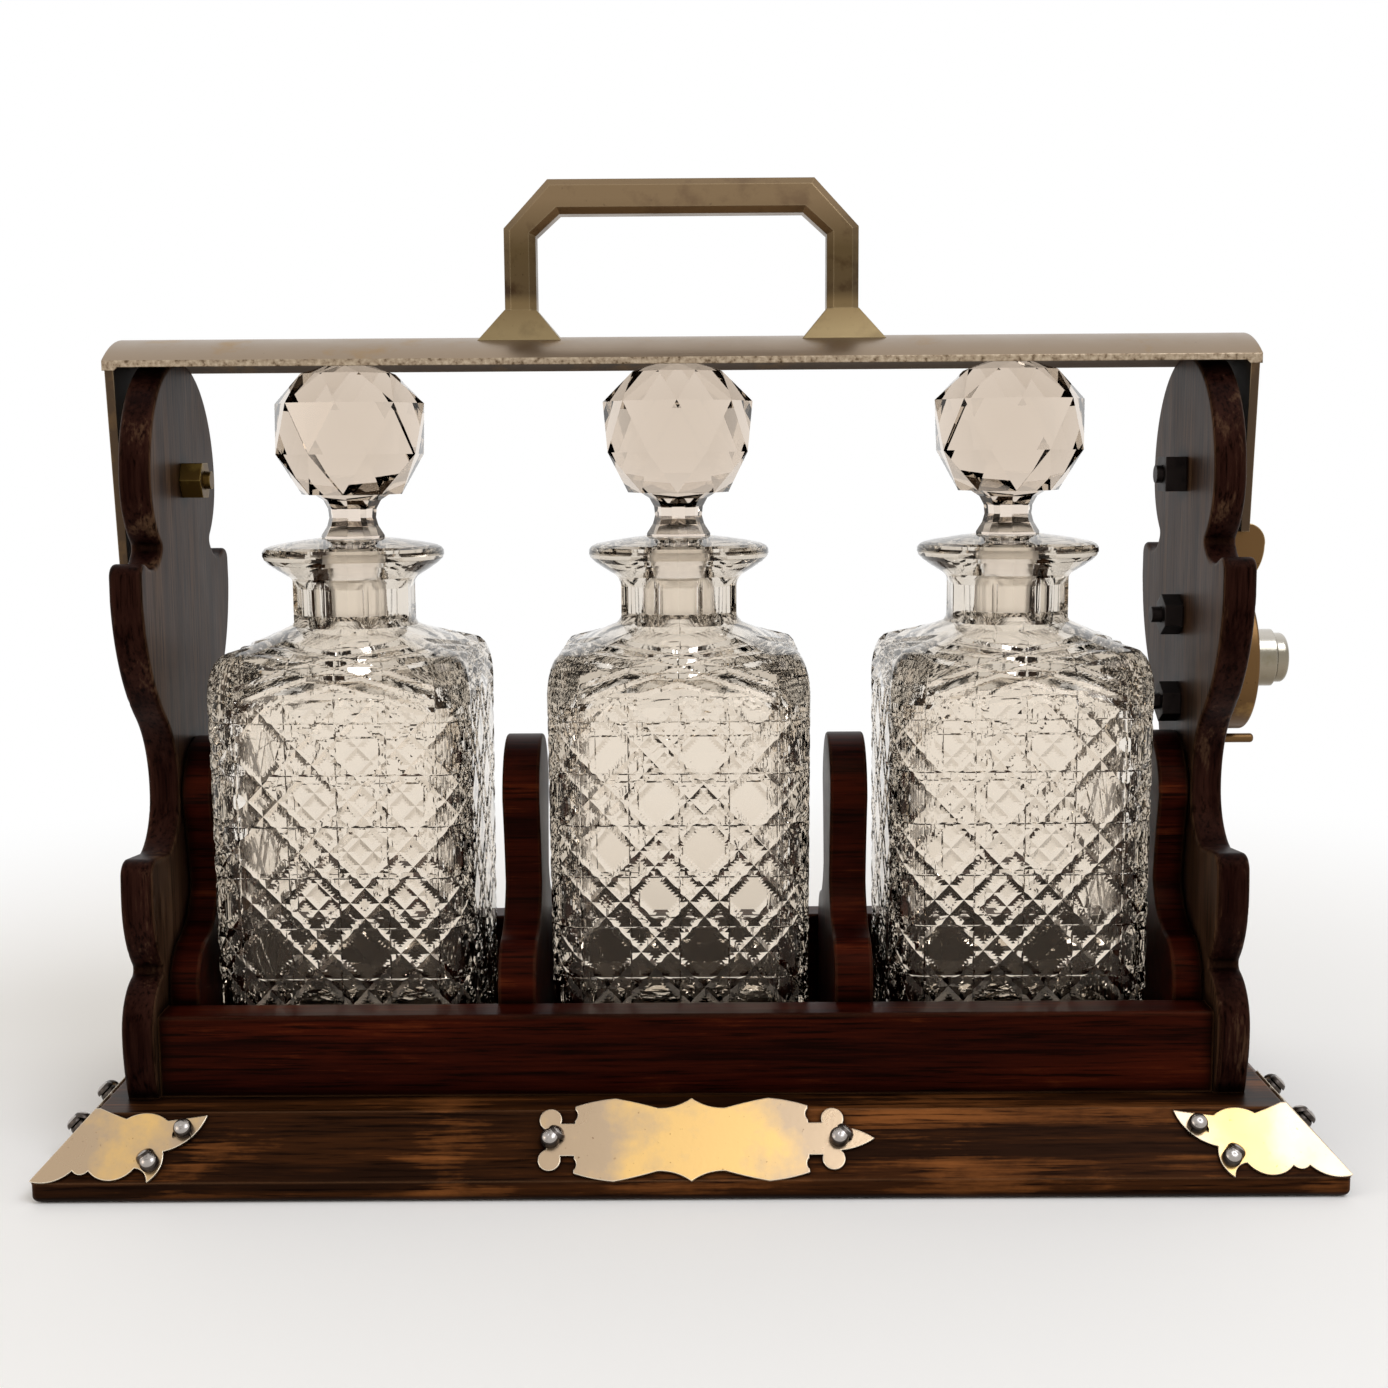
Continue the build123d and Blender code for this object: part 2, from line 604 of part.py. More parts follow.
tongue_top_z = lock_z + case_radius - tongue_setback
plate_foot_z = pin_z - cam_pin_radius - cam_slot_clearance - 2.0
plate_shoulder_z = lock_z + 12.7
stud_top_z = stud_rows[1]
with BuildPart() as lock_bolt:
    with BuildSketch(Plane.YZ.offset(bolt_from_x)):
        with Locations((0, plate_foot_z)):
            Rectangle(2 * bolt_half_width, plate_shoulder_z - plate_foot_z,
                      align=(Align.CENTER, Align.MIN))
            Rectangle(2 * tongue_half_width, tongue_top_z - plate_foot_z,
                      align=(Align.CENTER, Align.MIN))
        # the stud guides the bolt; the slot is its travel long
        with Locations((0, stud_top_z - lock_bolt_travel / 2)):
            SlotCenterToCenter(lock_bolt_travel, 2 * (stud_radius + slide_clearance),
                               rotation=90, mode=Mode.SUBTRACT)
        slot_from_y = pin_y - cam_pin_radius - cam_slot_clearance
        slot_to_y = cam_throw + cam_pin_radius + cam_slot_clearance
        with Locations(((slot_from_y + slot_to_y) / 2, pin_z)):
            Rectangle(slot_to_y - slot_from_y, 2 * (cam_pin_radius + cam_slot_clearance),
                      mode=Mode.SUBTRACT)
    extrude(amount=bolt_thickness)
save(lock_bolt.part, "lock_bolt")

with BuildPart() as lock_studs:
    for row_z in stud_rows:
        disc(board_inner_x - stud_nut_thickness - stud_stand_out, cavity_end_x, stud_radius,
             z=row_z)
save(lock_studs.part, "lock_studs")

with BuildPart() as lock_nuts:
    with BuildSketch(Plane.YZ.offset(board_inner_x - stud_nut_thickness)):
        with Locations(*[(0, row_z) for row_z in stud_rows]):
            RegularPolygon(stud_nut_across_flats / 2, 6, major_radius=False, rotation=30)
            Circle(stud_radius + fixed_clearance, mode=Mode.SUBTRACT)
    extrude(amount=stud_nut_thickness)
save(lock_nuts.part, "lock_nuts")

with BuildPart() as lock_peg:
    disc(board_inner_x + 2.0, board_outer_x + peg_length, peg_radius, z=lock_z - peg_drop)
    fillet(lock_peg.faces().sort_by(Axis.X)[-1].edges(), radius=peg_radius * 0.7)
save(lock_peg.part, "lock_peg")

# ================================================================ brass mounts
front_slope = Plane(origin=(base_shift, -base_depth / 2, nosing_height), x_dir=(1, 0, 0),
                    z_dir=(0, -bevel_rise, bevel_inset))
corner = (base_shift - base_length / 2, -base_depth / 2, 0)
base_middle = Plane.YZ.offset(base_shift)
mitre = Plane(origin=corner, z_dir=(1, -1, 0))
corner_slope = Plane(origin=(corner[0], corner[1], nosing_height), x_dir=(1, 0, 0),
                     z_dir=front_slope.z_dir)

with BuildPart() as corner_mount_front_left:
    with BuildSketch(corner_slope):
        with BuildLine():
            toe = ThreePointArc((-mount_thickness, 0.6), (5.5, 0.2), (11.2, 3.5))
            bead = ThreePointArc(toe @ 1, (13.6, 2.3), (15.8, 3.4))
            belly = ThreePointArc(bead @ 1, (21.4, 0.6), (28.7, 4.2))
            barb = ThreePointArc(belly @ 1, (31.4, 3.0), (32.8, 0))
            heel = ThreePointArc(barb @ 1, (mount_reach - 11.3, 4.0),
                                 (mount_reach - 11.1, 9.1))
            wing = ThreePointArc(heel @ 1, (mount_reach - 4.6, 12.4), (mount_reach, 19.9))
            brow = ThreePointArc(wing @ 1, (mount_reach - 5.7, 19.0),
                                 (mount_reach - 11.2, 18.3))
            crest = ThreePointArc(brow @ 1, (30.5, 20.6), (24.1, 18.9))
            crown = ThreePointArc(crest @ 1, (19.5, 20.7), (16.1, 22.2))
            Polyline(crown @ 1, (-mount_thickness, 22.2), toe @ 0)
        make_face()
    extrude(amount=mount_thickness)
    split(bisect_by=mitre, keep=Keep.TOP)
    mirror(about=mitre)

nail_places = ((mount_reach - 6.1, 15.5), (mount_reach - 14.2, 5.5))
with BuildPart() as corner_nails:
    for u, v in nail_places:
        with BuildSketch(corner_slope.offset(mount_thickness)):
            with Locations((u, v)):
                Circle(nail_radius)
        extrude(amount=nail_height, taper=nail_taper)
    mirror(about=mitre)

save(corner_mount_front_left.part, "corner_mount_front_left")
save(corner_mount_front_left.part.mirror(base_middle), "corner_mount_front_right")
save(corner_mount_front_left.part.mirror(Plane.XZ), "corner_mount_back_left")
save(corner_mount_front_left.part.mirror(base_middle).mirror(Plane.XZ), "corner_mount_back_right")

# blank nameplate on the front slope: an eared tablet with a lily at each end
plate_slope = Plane(origin=front_slope.from_local_coords((plate_offset, plate_height / 2 - 0.4, 0)),
                    x_dir=(1, 0, 0), z_dir=front_slope.z_dir)
half_height = plate_height / 2
petal_rise = 6.0
bite_rise = 7.4
with BuildPart() as nameplate:
    with BuildSketch(plate_slope):
        with BuildLine():
            crest = ThreePointArc((0, half_height), (4.2, half_height - 2.2),
                                  (9.6, half_height - 3.0))
            swell = ThreePointArc(crest @ 1, (15.5, half_height - 1.4), (22.0, half_height))
            shoulder = ThreePointArc(swell @ 1, (28.0, half_height - 0.9),
                                     (plate_half_length, half_height - 2.4))
            Line(shoulder @ 1, (plate_half_length, 0))
            mirror(about=Plane.YZ)
            mirror(about=Plane.XZ)
        make_face()
        petal_u = plate_half_length + petal_reach - petal_radius
        Rectangle(2 * (petal_u + 1.0), petal_rise * 1.6)
        for side in (-1, 1):
            with Locations(*[(side * petal_u, row * petal_rise) for row in (-1, 1)]):
                Circle(petal_radius)
            with Locations(*[(side * (plate_half_length + 1.6), row * bite_rise)
                             for row in (-1, 1)]):
                Circle(bite_radius, mode=Mode.SUBTRACT)
        with BuildLine():
            tip = ThreePointArc((petal_u, 3.6), (petal_u + 6.6, 2.6), (plate_tip, 0))
            edge = ThreePointArc(tip @ 1, (petal_u + 6.6, -2.6), (petal_u, -3.6))
            Line(edge @ 1, tip @ 0)
        make_face()
    extrude(amount=mount_thickness)
save(nameplate.part, "nameplate")

with BuildPart() as mount_nails:
    for side in (-1, 1):
        with BuildSketch(plate_slope.offset(mount_thickness)):
            with Locations((plate_nail_shift + side * plate_nail_spacing / 2, 0)):
                Circle(nail_radius)
        extrude(amount=nail_height, taper=nail_taper)
    add(corner_nails.part)
    add(corner_nails.part.mirror(base_middle))
    add(corner_nails.part.mirror(Plane.XZ))
    add(corner_nails.part.mirror(base_middle).mirror(Plane.XZ))
save(mount_nails.part, "mount_nails")

# ================================================================ decanters and stoppers
decanter_places = [place * decanter_pitch + shift for place, shift in zip((-1, 0, 1), well_shifts)]


# the main crossed mitres of one side, two squares apart, on the front of a decanter at X 0
mitre_lean = degrees(atan2(cell_width, cell_height))
field_middle = (mitre_field_foot + mitre_field_top) / 2
mitre_size = mitre_depth * sqrt(2)
with BuildPart() as side_mitres:
    for lean, first in ((1, rising_mitre), (-1, falling_mitre)):
        middles = [cell_width * (2 * k + first + lean * field_middle / cell_height)
                   for k in range(-5, 6)]
        with Locations(*[Location((x, -decanter_side / 2, stand_z + field_middle),
                                  (0, lean * mitre_lean, 0)) for x in middles]):
            Box(mitre_size, mitre_size, 2 * mitre_field_top, rotation=(0, 0, 45))
    with Locations((0, -decanter_side / 2, stand_z + field_middle)):
        Box(2 * mitre_field_half, 3 * mitre_depth, mitre_field_top - mitre_field_foot,
            mode=Mode.INTERSECT)


def decanter_at(x):
    """A square decanter: cut sides, domed shoulders, panelled neck and wide lip."""
    inner = decanter_side - 2 * glass_wall
    with BuildPart() as decanter:
        with BuildSketch(Plane((x, 0, stand_z))):
            RectangleRounded(decanter_side, decanter_side, body_corner_round)
        extrude(amount=body_height)
        chamfer(decanter.faces().sort_by(Axis.Z)[0].edges(), length=1.0)
        with Locations((x, 0, 0)), PolarLocations(0, 4):
            add(side_mitres.part, mode=Mode.SUBTRACT)
        for rise, share in shoulder_belts:
            width = share * decanter_side
            with BuildSketch(Plane((x, 0, body_top_z + rise * shoulder_rise))):
                RectangleRounded(width, width, share * body_corner_round)
        with BuildSketch(Plane((x, 0, neck_root_z))):
            RectangleRounded(2 * neck_radius, 2 * neck_radius, 0.97 * neck_radius)
        loft(ruled=True)
        with BuildSketch(Plane((x, 0, neck_root_z - 1.0))):
            RegularPolygon(neck_radius, neck_panels, rotation=180 / neck_panels)
        extrude(amount=neck_height + 2.0)
        # the lip and, below, the smooth bore that takes the stopper
        with BuildSketch(Plane((x, 0, 0), x_dir=(1, 0, 0), z_dir=(0, -1, 0))):
            with BuildLine():
                Polyline((0, lip_from_z), (neck_radius - 1.0, lip_from_z),
                         (lip_radius, lip_from_z + lip_edge_height),
                         (lip_radius - 1.2, lip_from_z + lip_edge_height + 2.2),
                         (mouth_radius + 4.0, lip_top_z), (0, lip_top_z), close=True)
            make_face()
        revolve(axis=Axis((x, 0, 0), (0, 0, 1)))
        with BuildSketch(Plane((x, 0, stand_z + glass_floor))) as cavity_floor:
            RectangleRounded(inner, inner, body_corner_round - 2.0)
        with BuildSketch(Plane((x, 0, body_top_z))) as cavity_top:
            RectangleRounded(inner, inner, body_corner_round - 2.0)
        loft(sections=[cavity_floor.sketch, cavity_top.sketch], mode=Mode.SUBTRACT)
        with BuildSketch(Plane((x, 0, body_top_z))) as dome_from:
            Circle(inner / 2)
        with BuildSketch(Plane((x, 0, neck_root_z - 2.0))) as dome_to:
            Circle(mouth_radius - bore_taper)
        loft(sections=[dome_from.sketch, dome_to.sketch], mode=Mode.SUBTRACT)
        with Locations((x, 0, neck_root_z - 2.0)):
            Cone(mouth_radius - bore_taper, mouth_radius, lip_top_z - neck_root_z + 2.0,
                 align=(Align.CENTER, Align.CENTER, Align.MIN), mode=Mode.SUBTRACT)
    return decanter.part


def stopper_at(x):
    """A facet-cut ball and a waisted stem on a ground plug."""
    bore_length = lip_top_z - neck_root_z + 2.0
    taper = bore_taper / bore_length
    plug_top = mouth_radius - running_clearance
    plug_end = plug_top - taper * stopper_plug_length
    plug_end_z = lip_top_z - stopper_plug_length
    collar_z = lip_top_z + stopper_seat_gap
    stem_top_z = lip_top_z + stem_top_rise
    corners = []
    for belt, (radius, rise) in enumerate(ball_belts):
        for corner in range(ball_corners):
            heading = radians(360 / ball_corners * (corner + belt % 2 / 2))
            corners.append((x + radius * cos(heading), radius * sin(heading),
                            ball_z + rise))
    with BuildPart() as stopper:
        ConvexPolyhedron(corners)
        with BuildSketch(Plane((x, 0, 0), x_dir=(1, 0, 0), z_dir=(0, -1, 0))):
            with BuildLine():
                plug = Polyline((0, stem_top_z + 4.0), (0, plug_end_z), (plug_end, plug_end_z),
                                (plug_top, lip_top_z), (plug_top, collar_z),
                                (stem_foot_radius, collar_z))
                stem = ThreePointArc(plug @ 1, (stem_waist_radius, lip_top_z + stem_waist_rise),
                                     (stem_top_radius, stem_top_z))
                Polyline(stem @ 1, (stem_top_radius, stem_top_z + 4.0), plug @ 0)
            make_face()
        revolve(axis=Axis((x, 0, 0), (0, 0, 1)))
    return stopper.part


for label, x in zip(("left", "middle", "right"), decanter_places):
    save(decanter_at(x), f"decanter_{label}")
    save(stopper_at(x), f"stopper_{label}")
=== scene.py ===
import math

import bpy
from mathutils import Matrix, Vector


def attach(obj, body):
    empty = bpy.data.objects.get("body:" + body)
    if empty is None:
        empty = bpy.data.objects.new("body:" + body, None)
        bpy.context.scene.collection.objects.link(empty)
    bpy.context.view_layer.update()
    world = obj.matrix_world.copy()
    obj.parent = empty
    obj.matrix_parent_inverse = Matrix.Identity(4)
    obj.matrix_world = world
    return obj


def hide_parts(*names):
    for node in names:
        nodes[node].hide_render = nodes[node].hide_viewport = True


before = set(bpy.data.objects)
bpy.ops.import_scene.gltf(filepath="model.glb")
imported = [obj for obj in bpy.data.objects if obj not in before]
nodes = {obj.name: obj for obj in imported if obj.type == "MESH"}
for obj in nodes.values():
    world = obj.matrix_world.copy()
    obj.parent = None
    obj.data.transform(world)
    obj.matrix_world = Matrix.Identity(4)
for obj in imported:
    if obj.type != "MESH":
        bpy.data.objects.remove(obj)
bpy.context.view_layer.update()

MM = 0.001
STAND_MIDDLE = Vector((0, 0, 120)) * MM
STRIP_HALF_WIDTH = 24.0
SHARP_ANGLE = math.radians(30)

# ---------------------------------------------------------------- camera
# Fitted to the photograph: a long lens, a little above the bar, looking slightly down.
CAMERA_PLACE = Vector((5.2, -579.4, 209.8)) * MM
CAMERA_PITCH, CAMERA_YAW, CAMERA_ROLL = math.radians(7.46), math.radians(0.22), math.radians(0.38)
LENS, SENSOR = 47.98, 36.0                 # mm

camera_data = bpy.data.cameras.new("studio_camera")
camera_data.lens = LENS
camera_data.sensor_width = SENSOR
camera = bpy.data.objects.new("studio_camera", camera_data)
bpy.context.scene.collection.objects.link(camera)
camera.matrix_world = (Matrix.Translation(CAMERA_PLACE) @ Matrix.Rotation(CAMERA_YAW, 4, "Z")
                       @ Matrix.Rotation(math.pi / 2 - CAMERA_PITCH, 4, "X")
                       @ Matrix.Rotation(-CAMERA_ROLL, 4, "Z"))
bpy.context.scene.camera = camera
bpy.context.scene.view_settings.view_transform = "Standard"


# ---------------------------------------------------------------- colour and nodes
def linear(hex_colour):
    """An sRGB hex value as linear RGBA."""
    parts = [int(hex_colour[i:i + 2], 16) / 255 for i in (1, 3, 5)]
    return [p / 12.92 if p <= 0.04045 else ((p + 0.055) / 1.055) ** 2.4 for p in parts] + [1.0]


def add_node(tree, kind, settings={}, links={}):
    """One shader node, with its settings (properties, sockets or ramp stops) and its links in."""
    added = tree.nodes.new("ShaderNode" + kind)
    for name, value in settings.items():
        if name == "stops":
            ramp = added.color_ramp
            while len(ramp.elements) < len(value):
                ramp.elements.new(0.5)
            for element, (place, colour) in zip(ramp.elements, value):
                element.position = place
                element.color = linear(colour)
        elif isinstance(name, int) or name in added.inputs:
            added.inputs[name].default_value = value
        else:
            setattr(added, name, value)
    for name, source in links.items():
        tree.links.new(source, added.inputs[name])
    return added


def new_material(name):
    """An empty node material and its tree."""
    material = bpy.data.materials.new(name)
    material.use_nodes = True
    material.node_tree.nodes.clear()
    return material, material.node_tree


def stretched(tree, scale):
    """Object coordinates in metres, scaled apart along each axis."""
    place = add_node(tree, "TexCoord")
    return add_node(tree, "Mapping", {"Scale": scale}, {"Vector": place.outputs["Object"]})


# ---------------------------------------------------------------- studio
# White wherever it is seen, so the metals and the glass carry broad soft reflections; the object is
# lit by a slightly dimmer and warmer room and by two windows.
def seen_or_mirrored(tree):
    """1 for what is seen straight on, in metal or through glass, and 0 for what lights the object."""
    ray = add_node(tree, "LightPath")
    mirrored = add_node(tree, "Math", {"operation": "MAXIMUM"},
                        {0: ray.outputs["Is Camera Ray"], 1: ray.outputs["Is Glossy Ray"]})
    return add_node(tree, "Math", {"operation": "MAXIMUM"},
                    {0: mirrored.outputs[0], 1: ray.outputs["Is Transmission Ray"]})


world = bpy.data.worlds.new("studio")
bpy.context.scene.world = world
world.use_nodes = True
sky = world.node_tree
sky.nodes.clear()
seen = seen_or_mirrored(sky)
room = add_node(sky, "Background", {"Color": linear("#e9e6e2"), "Strength": 0.9})
white = add_node(sky, "Background", {"Color": linear("#ffffff"), "Strength": 1.0})
backdrop = add_node(sky, "MixShader", {}, {0: seen.outputs[0], 1: room.outputs[0], 2: white.outputs[0]})
add_node(sky, "OutputWorld", {}, {"Surface": backdrop.outputs[0]})

# Matt white paper: it keeps the shadow near the stand, and fades into the white backdrop further off.
FLOOR_REACH, FLOOR_Z = 6.0, -0.2 * MM
FADE_FROM, FADE_TO = 240 * MM, 620 * MM
pale_paper, tree = new_material("pale_paper_floor")
paper = add_node(tree, "BsdfPrincipled", {"Base Color": linear("#faf9f7"), "Roughness": 0.9,
                                          "Specular IOR Level": 0.2})
place = add_node(tree, "TexCoord")
distance = add_node(tree, "VectorMath", {"operation": "LENGTH"}, {0: place.outputs["Object"]})
far_off = add_node(tree, "MapRange", {"From Min": FADE_FROM, "From Max": FADE_TO,
                                      "interpolation_type": "SMOOTHSTEP"},
                   {"Value": distance.outputs["Value"]})
seen = seen_or_mirrored(tree)
fade = add_node(tree, "Math", {"operation": "MULTIPLY"}, {0: far_off.outputs[0], 1: seen.outputs[0]})
white = add_node(tree, "Emission", {"Color": linear("#ffffff"), "Strength": 1.0})
faded = add_node(tree, "MixShader", {}, {0: fade.outputs[0], 1: paper.outputs[0], 2: white.outputs[0]})
add_node(tree, "OutputMaterial", {}, {"Surface": faded.outputs[0]})
floor_mesh = bpy.data.meshes.new("floor")
floor_mesh.from_pydata([(x * FLOOR_REACH, y * FLOOR_REACH, FLOOR_Z)
                        for x, y in ((-1, -1), (1, -1), (1, 1), (-1, 1))], [], [(0, 1, 2, 3)])
floor_mesh.materials.append(pale_paper)
floor = bpy.data.objects.new("floor", floor_mesh)
bpy.context.scene.collection.objects.link(floor)


def softbox(name, place, size, watts, colour):
    """A square lamp that faces the middle of the stand; place and size are in metres."""
    data = bpy.data.lights.new(name, "AREA")
    data.shape = "SQUARE"
    data.size = size
    data.energy = watts
    data.color = linear(colour)[:3]
    lamp = bpy.data.objects.new(name, data)
    lamp.location = place
    lamp.rotation_euler = (STAND_MIDDLE - Vector(place)).to_track_quat("-Z", "Y").to_euler()
    bpy.context.scene.collection.objects.link(lamp)


softbox("right_window", (0.75, -0.95, 1.55), 0.9, 12, "#eef4ff")
softbox("left_window", (-1.5, -0.9, 0.8), 0.7, 4, "#fff2e4")


# ---------------------------------------------------------------- what age does to every surface, and the edge mask that also paints highlights
# how far the rounded normal agrees with the flat one, on a flat and on a fully rounded arris
AGREES_ON_FLAT, AGREES_ON_EDGE = 0.995, 0.88
RAMP_REACH = 200             # mm each way along X


def edge_mask_and_normal(tree, radius_mm):
    """1 on the arrises, 0 on the flats, and the normal rounded over them."""
    rounded = add_node(tree, "Bevel", {"samples": 6, "Radius": radius_mm * MM})
    flat = add_node(tree, "NewGeometry")
    agree = add_node(tree, "VectorMath", {"operation": "DOT_PRODUCT"},
                     {0: rounded.outputs[0], 1: flat.outputs["Normal"]})
    edge = add_node(tree, "MapRange", {"From Min": AGREES_ON_FLAT, "From Max": AGREES_ON_EDGE},
                    {"Value": agree.outputs["Value"]})
    return edge.outputs[0], rounded.outputs[0]


def along_the_stand(tree, places):
    """A grey ramp of the place along X: places are (mm, grey) pairs."""
    where = add_node(tree, "TexCoord")
    axes = add_node(tree, "SeparateXYZ", {}, {0: where.outputs["Object"]})
    share = add_node(tree, "MapRange", {"From Min": -RAMP_REACH * MM, "From Max": RAMP_REACH * MM},
                     {"Value": axes.outputs["X"]})
    stops = [((x + RAMP_REACH) / (2 * RAMP_REACH), grey) for x, grey in places]
    return add_node(tree, "ValToRGB", {"stops": stops}, {0: share.outputs[0]}).outputs[0]


# ---------------------------------------------------------------- wood
# Oak's fibres are about 0.3 mm wide and too fine to show, so they are drawn at about 1 mm.
FIBRE_MM, FIGURE_MM, WEAR_PATCH_MM = 1.1, 7, 24
ALONG_FIBRE = {"X": (0.04, 1, 1), "Z": (1, 1, 0.04)}      # the fibres' length is 25 times their width
ALONG_WEAR = {"X": (0.4, 1, 1), "Z": (1, 1, 0.4)}
# how far the painted shade (partly old wax) reaches into corners and from the fittings, and the arris
# rounding
SHADE_AND_WAX_REACH_MM, ARRIS_MM = 4.5, 1.2
FIBRE_IN_WEAR, PLACE_IN_WEAR, UNWORN = 1.1, 0.24, 0.775   # what counts towards bare wood, and against
WAXED, DRY, PORE_DEPTH_MM = 0.26, 0.52, 0.12              # roughness of its patches
SAWN_FACE_BELOW = 0.7        # a face whose normal leans less than this towards X is a board's edge


def stained_oak(name, grain_axis, deep, warm, worn, wear, shine, worn_places=None, edge_stain=None):
    """Oak, fumed and stained almost black, then waxed and handled for a century.

    Fibres and dark pores run with the grain, the stain has worn through to brown in patches, the
    arrises are a thin paler line, partly rubbed wear and partly a painted highlight, and corners and
    the wood against the fittings are darkened: painted shade, partly old wax. edge_stain is the
    deeper stain on a board's sawn edges.
    """
    material, tree = new_material(name)
    grain = stretched(tree, ALONG_FIBRE[grain_axis])
    fibre = add_node(tree, "TexNoise", {"Scale": 1 / (FIBRE_MM * MM), "Detail": 4.0, "Roughness": 0.65},
                     {"Vector": grain.outputs[0]})
    streak = add_node(tree, "TexNoise", {"Scale": 1 / (FIGURE_MM * MM), "Detail": 3.0, "Distortion": 0.5},
                      {"Vector": grain.outputs[0]})
    with_grain = stretched(tree, ALONG_WEAR[grain_axis])
    patch = add_node(tree, "TexNoise", {"Scale": 1 / (WEAR_PATCH_MM * MM), "Detail": 6.0,
                                        "Roughness": 0.66}, {"Vector": with_grain.outputs[0]})
    figure = add_node(tree, "Mix", {"data_type": "FLOAT", 0: 0.45},
                      {2: streak.outputs[0], 3: fibre.outputs[0]})
    stain = add_node(tree, "ValToRGB", {"stops": [(0.40, deep), (0.66, warm)]},
                     {0: figure.outputs[0]}).outputs[0]
    if edge_stain:
        place = add_node(tree, "TexCoord")
        facing = add_node(tree, "SeparateXYZ", {}, {0: place.outputs["Normal"]})
        across = add_node(tree, "Math", {"operation": "ABSOLUTE"}, {0: facing.outputs["X"]})
        on_edge = add_node(tree, "Math", {"operation": "LESS_THAN", 1: SAWN_FACE_BELOW},
                           {0: across.outputs[0]})
        sawn = add_node(tree, "ValToRGB", {"stops": [(0.40, "#120504"), (0.66, edge_stain)]},
                        {0: figure.outputs[0]})
        stain = add_node(tree, "Mix", {"data_type": "RGBA"},
                         {0: on_edge.outputs[0], 6: stain, 7: sawn.outputs[0]}).outputs[2]
    # stain worn through, fibre by fibre
    bare = add_node(tree, "Math", {"operation": "MULTIPLY_ADD", 1: FIBRE_IN_WEAR, 2: wear - UNWORN},
                    {0: figure.outputs[0]})
    bare = add_node(tree, "Math", {"operation": "ADD"}, {0: bare.outputs[0], 1: patch.outputs[0]})
    if worn_places:
        bare = add_node(tree, "Math", {"operation": "MULTIPLY_ADD", 1: PLACE_IN_WEAR},
                        {0: along_the_stand(tree, worn_places), 2: bare.outputs[0]})
    through = add_node(tree, "MapRange", {"From Min": 0.52, "From Max": 0.80}, {"Value": bare.outputs[0]})
    rubbed = add_node(tree, "Mix", {"data_type": "RGBA", 7: linear(worn)},
                      {0: through.outputs[0], 6: stain})
    pore = add_node(tree, "ValToRGB", {"stops": [(0.36, "#3a3030"), (0.45, "#ffffff")]},
                    {0: fibre.outputs[0]})
    streaked = add_node(tree, "Mix", {"data_type": "RGBA", "blend_type": "MULTIPLY", 0: 0.8},
                        {6: rubbed.outputs[2], 7: pore.outputs[0]})
    # painted shade in corners and against the fittings, partly old wax, and paler arrises, partly a
    # painted highlight
    corner = add_node(tree, "AmbientOcclusion", {"samples": 8, "Distance": SHADE_AND_WAX_REACH_MM * MM})
    wax_and_shade_ramp = add_node(tree, "ValToRGB", {"stops": [(0.60, "#060302"), (0.98, "#ffffff")]},
                   {0: corner.outputs["AO"]})
    waxed_and_shaded = add_node(tree, "Mix", {"data_type": "RGBA", "blend_type": "MULTIPLY", 0: 0.85},
                     {6: streaked.outputs[2], 7: wax_and_shade_ramp.outputs[0]})
    edge, rounded = edge_mask_and_normal(tree, ARRIS_MM)
    # paler arrises: partly rubbed wear, partly a painted highlight
    arris_wear_and_highlight = add_node(tree, "Math", {"operation": "MULTIPLY"}, {0: edge, 1: patch.outputs[0]})
    paler = add_node(tree, "Mix", {"data_type": "RGBA", 7: linear("#7d5a3e")},
                     {0: arris_wear_and_highlight.outputs[0], 6: waxed_and_shaded.outputs[2]})
    gloss = add_node(tree, "MapRange", {"To Min": WAXED, "To Max": DRY}, {"Value": patch.outputs[0]})
    bump = add_node(tree, "Bump", {"Strength": 0.30, "Distance": PORE_DEPTH_MM * MM},
                    {"Height": fibre.outputs[0], "Normal": rounded})
    surface = add_node(tree, "BsdfPrincipled", {"IOR": 1.5, "Specular IOR Level": shine,
                                                "Specular Tint": linear("#d08a66")},
                       {"Base Color": paler.outputs[2], "Roughness": gloss.outputs[0],
                        "Normal": bump.outputs[0]})
    add_node(tree, "OutputMaterial", {}, {"Surface": surface.outputs[0]})
    return material


# ---------------------------------------------------------------- metals
# Corrosion pits of 0.2 mm and rubbing marks of 0.1 mm are drawn some five times coarser, to show.
PIT_MM, EDGE_PIT_MM, RUBBING_MM, RIM_MM = 1.3, 1.5, 0.9, 0.5
PLACE_IN_PATCHES = 0.45      # how much the place along the stand moves the patches
EDGE_SKIN_MM = 0.12          # what lies within this of the half width is the edge
BRIGHTER, DULLER, MARK_DEPTH_MM = 0.08, 0.14, 0.08        # how far the patches shift the roughness


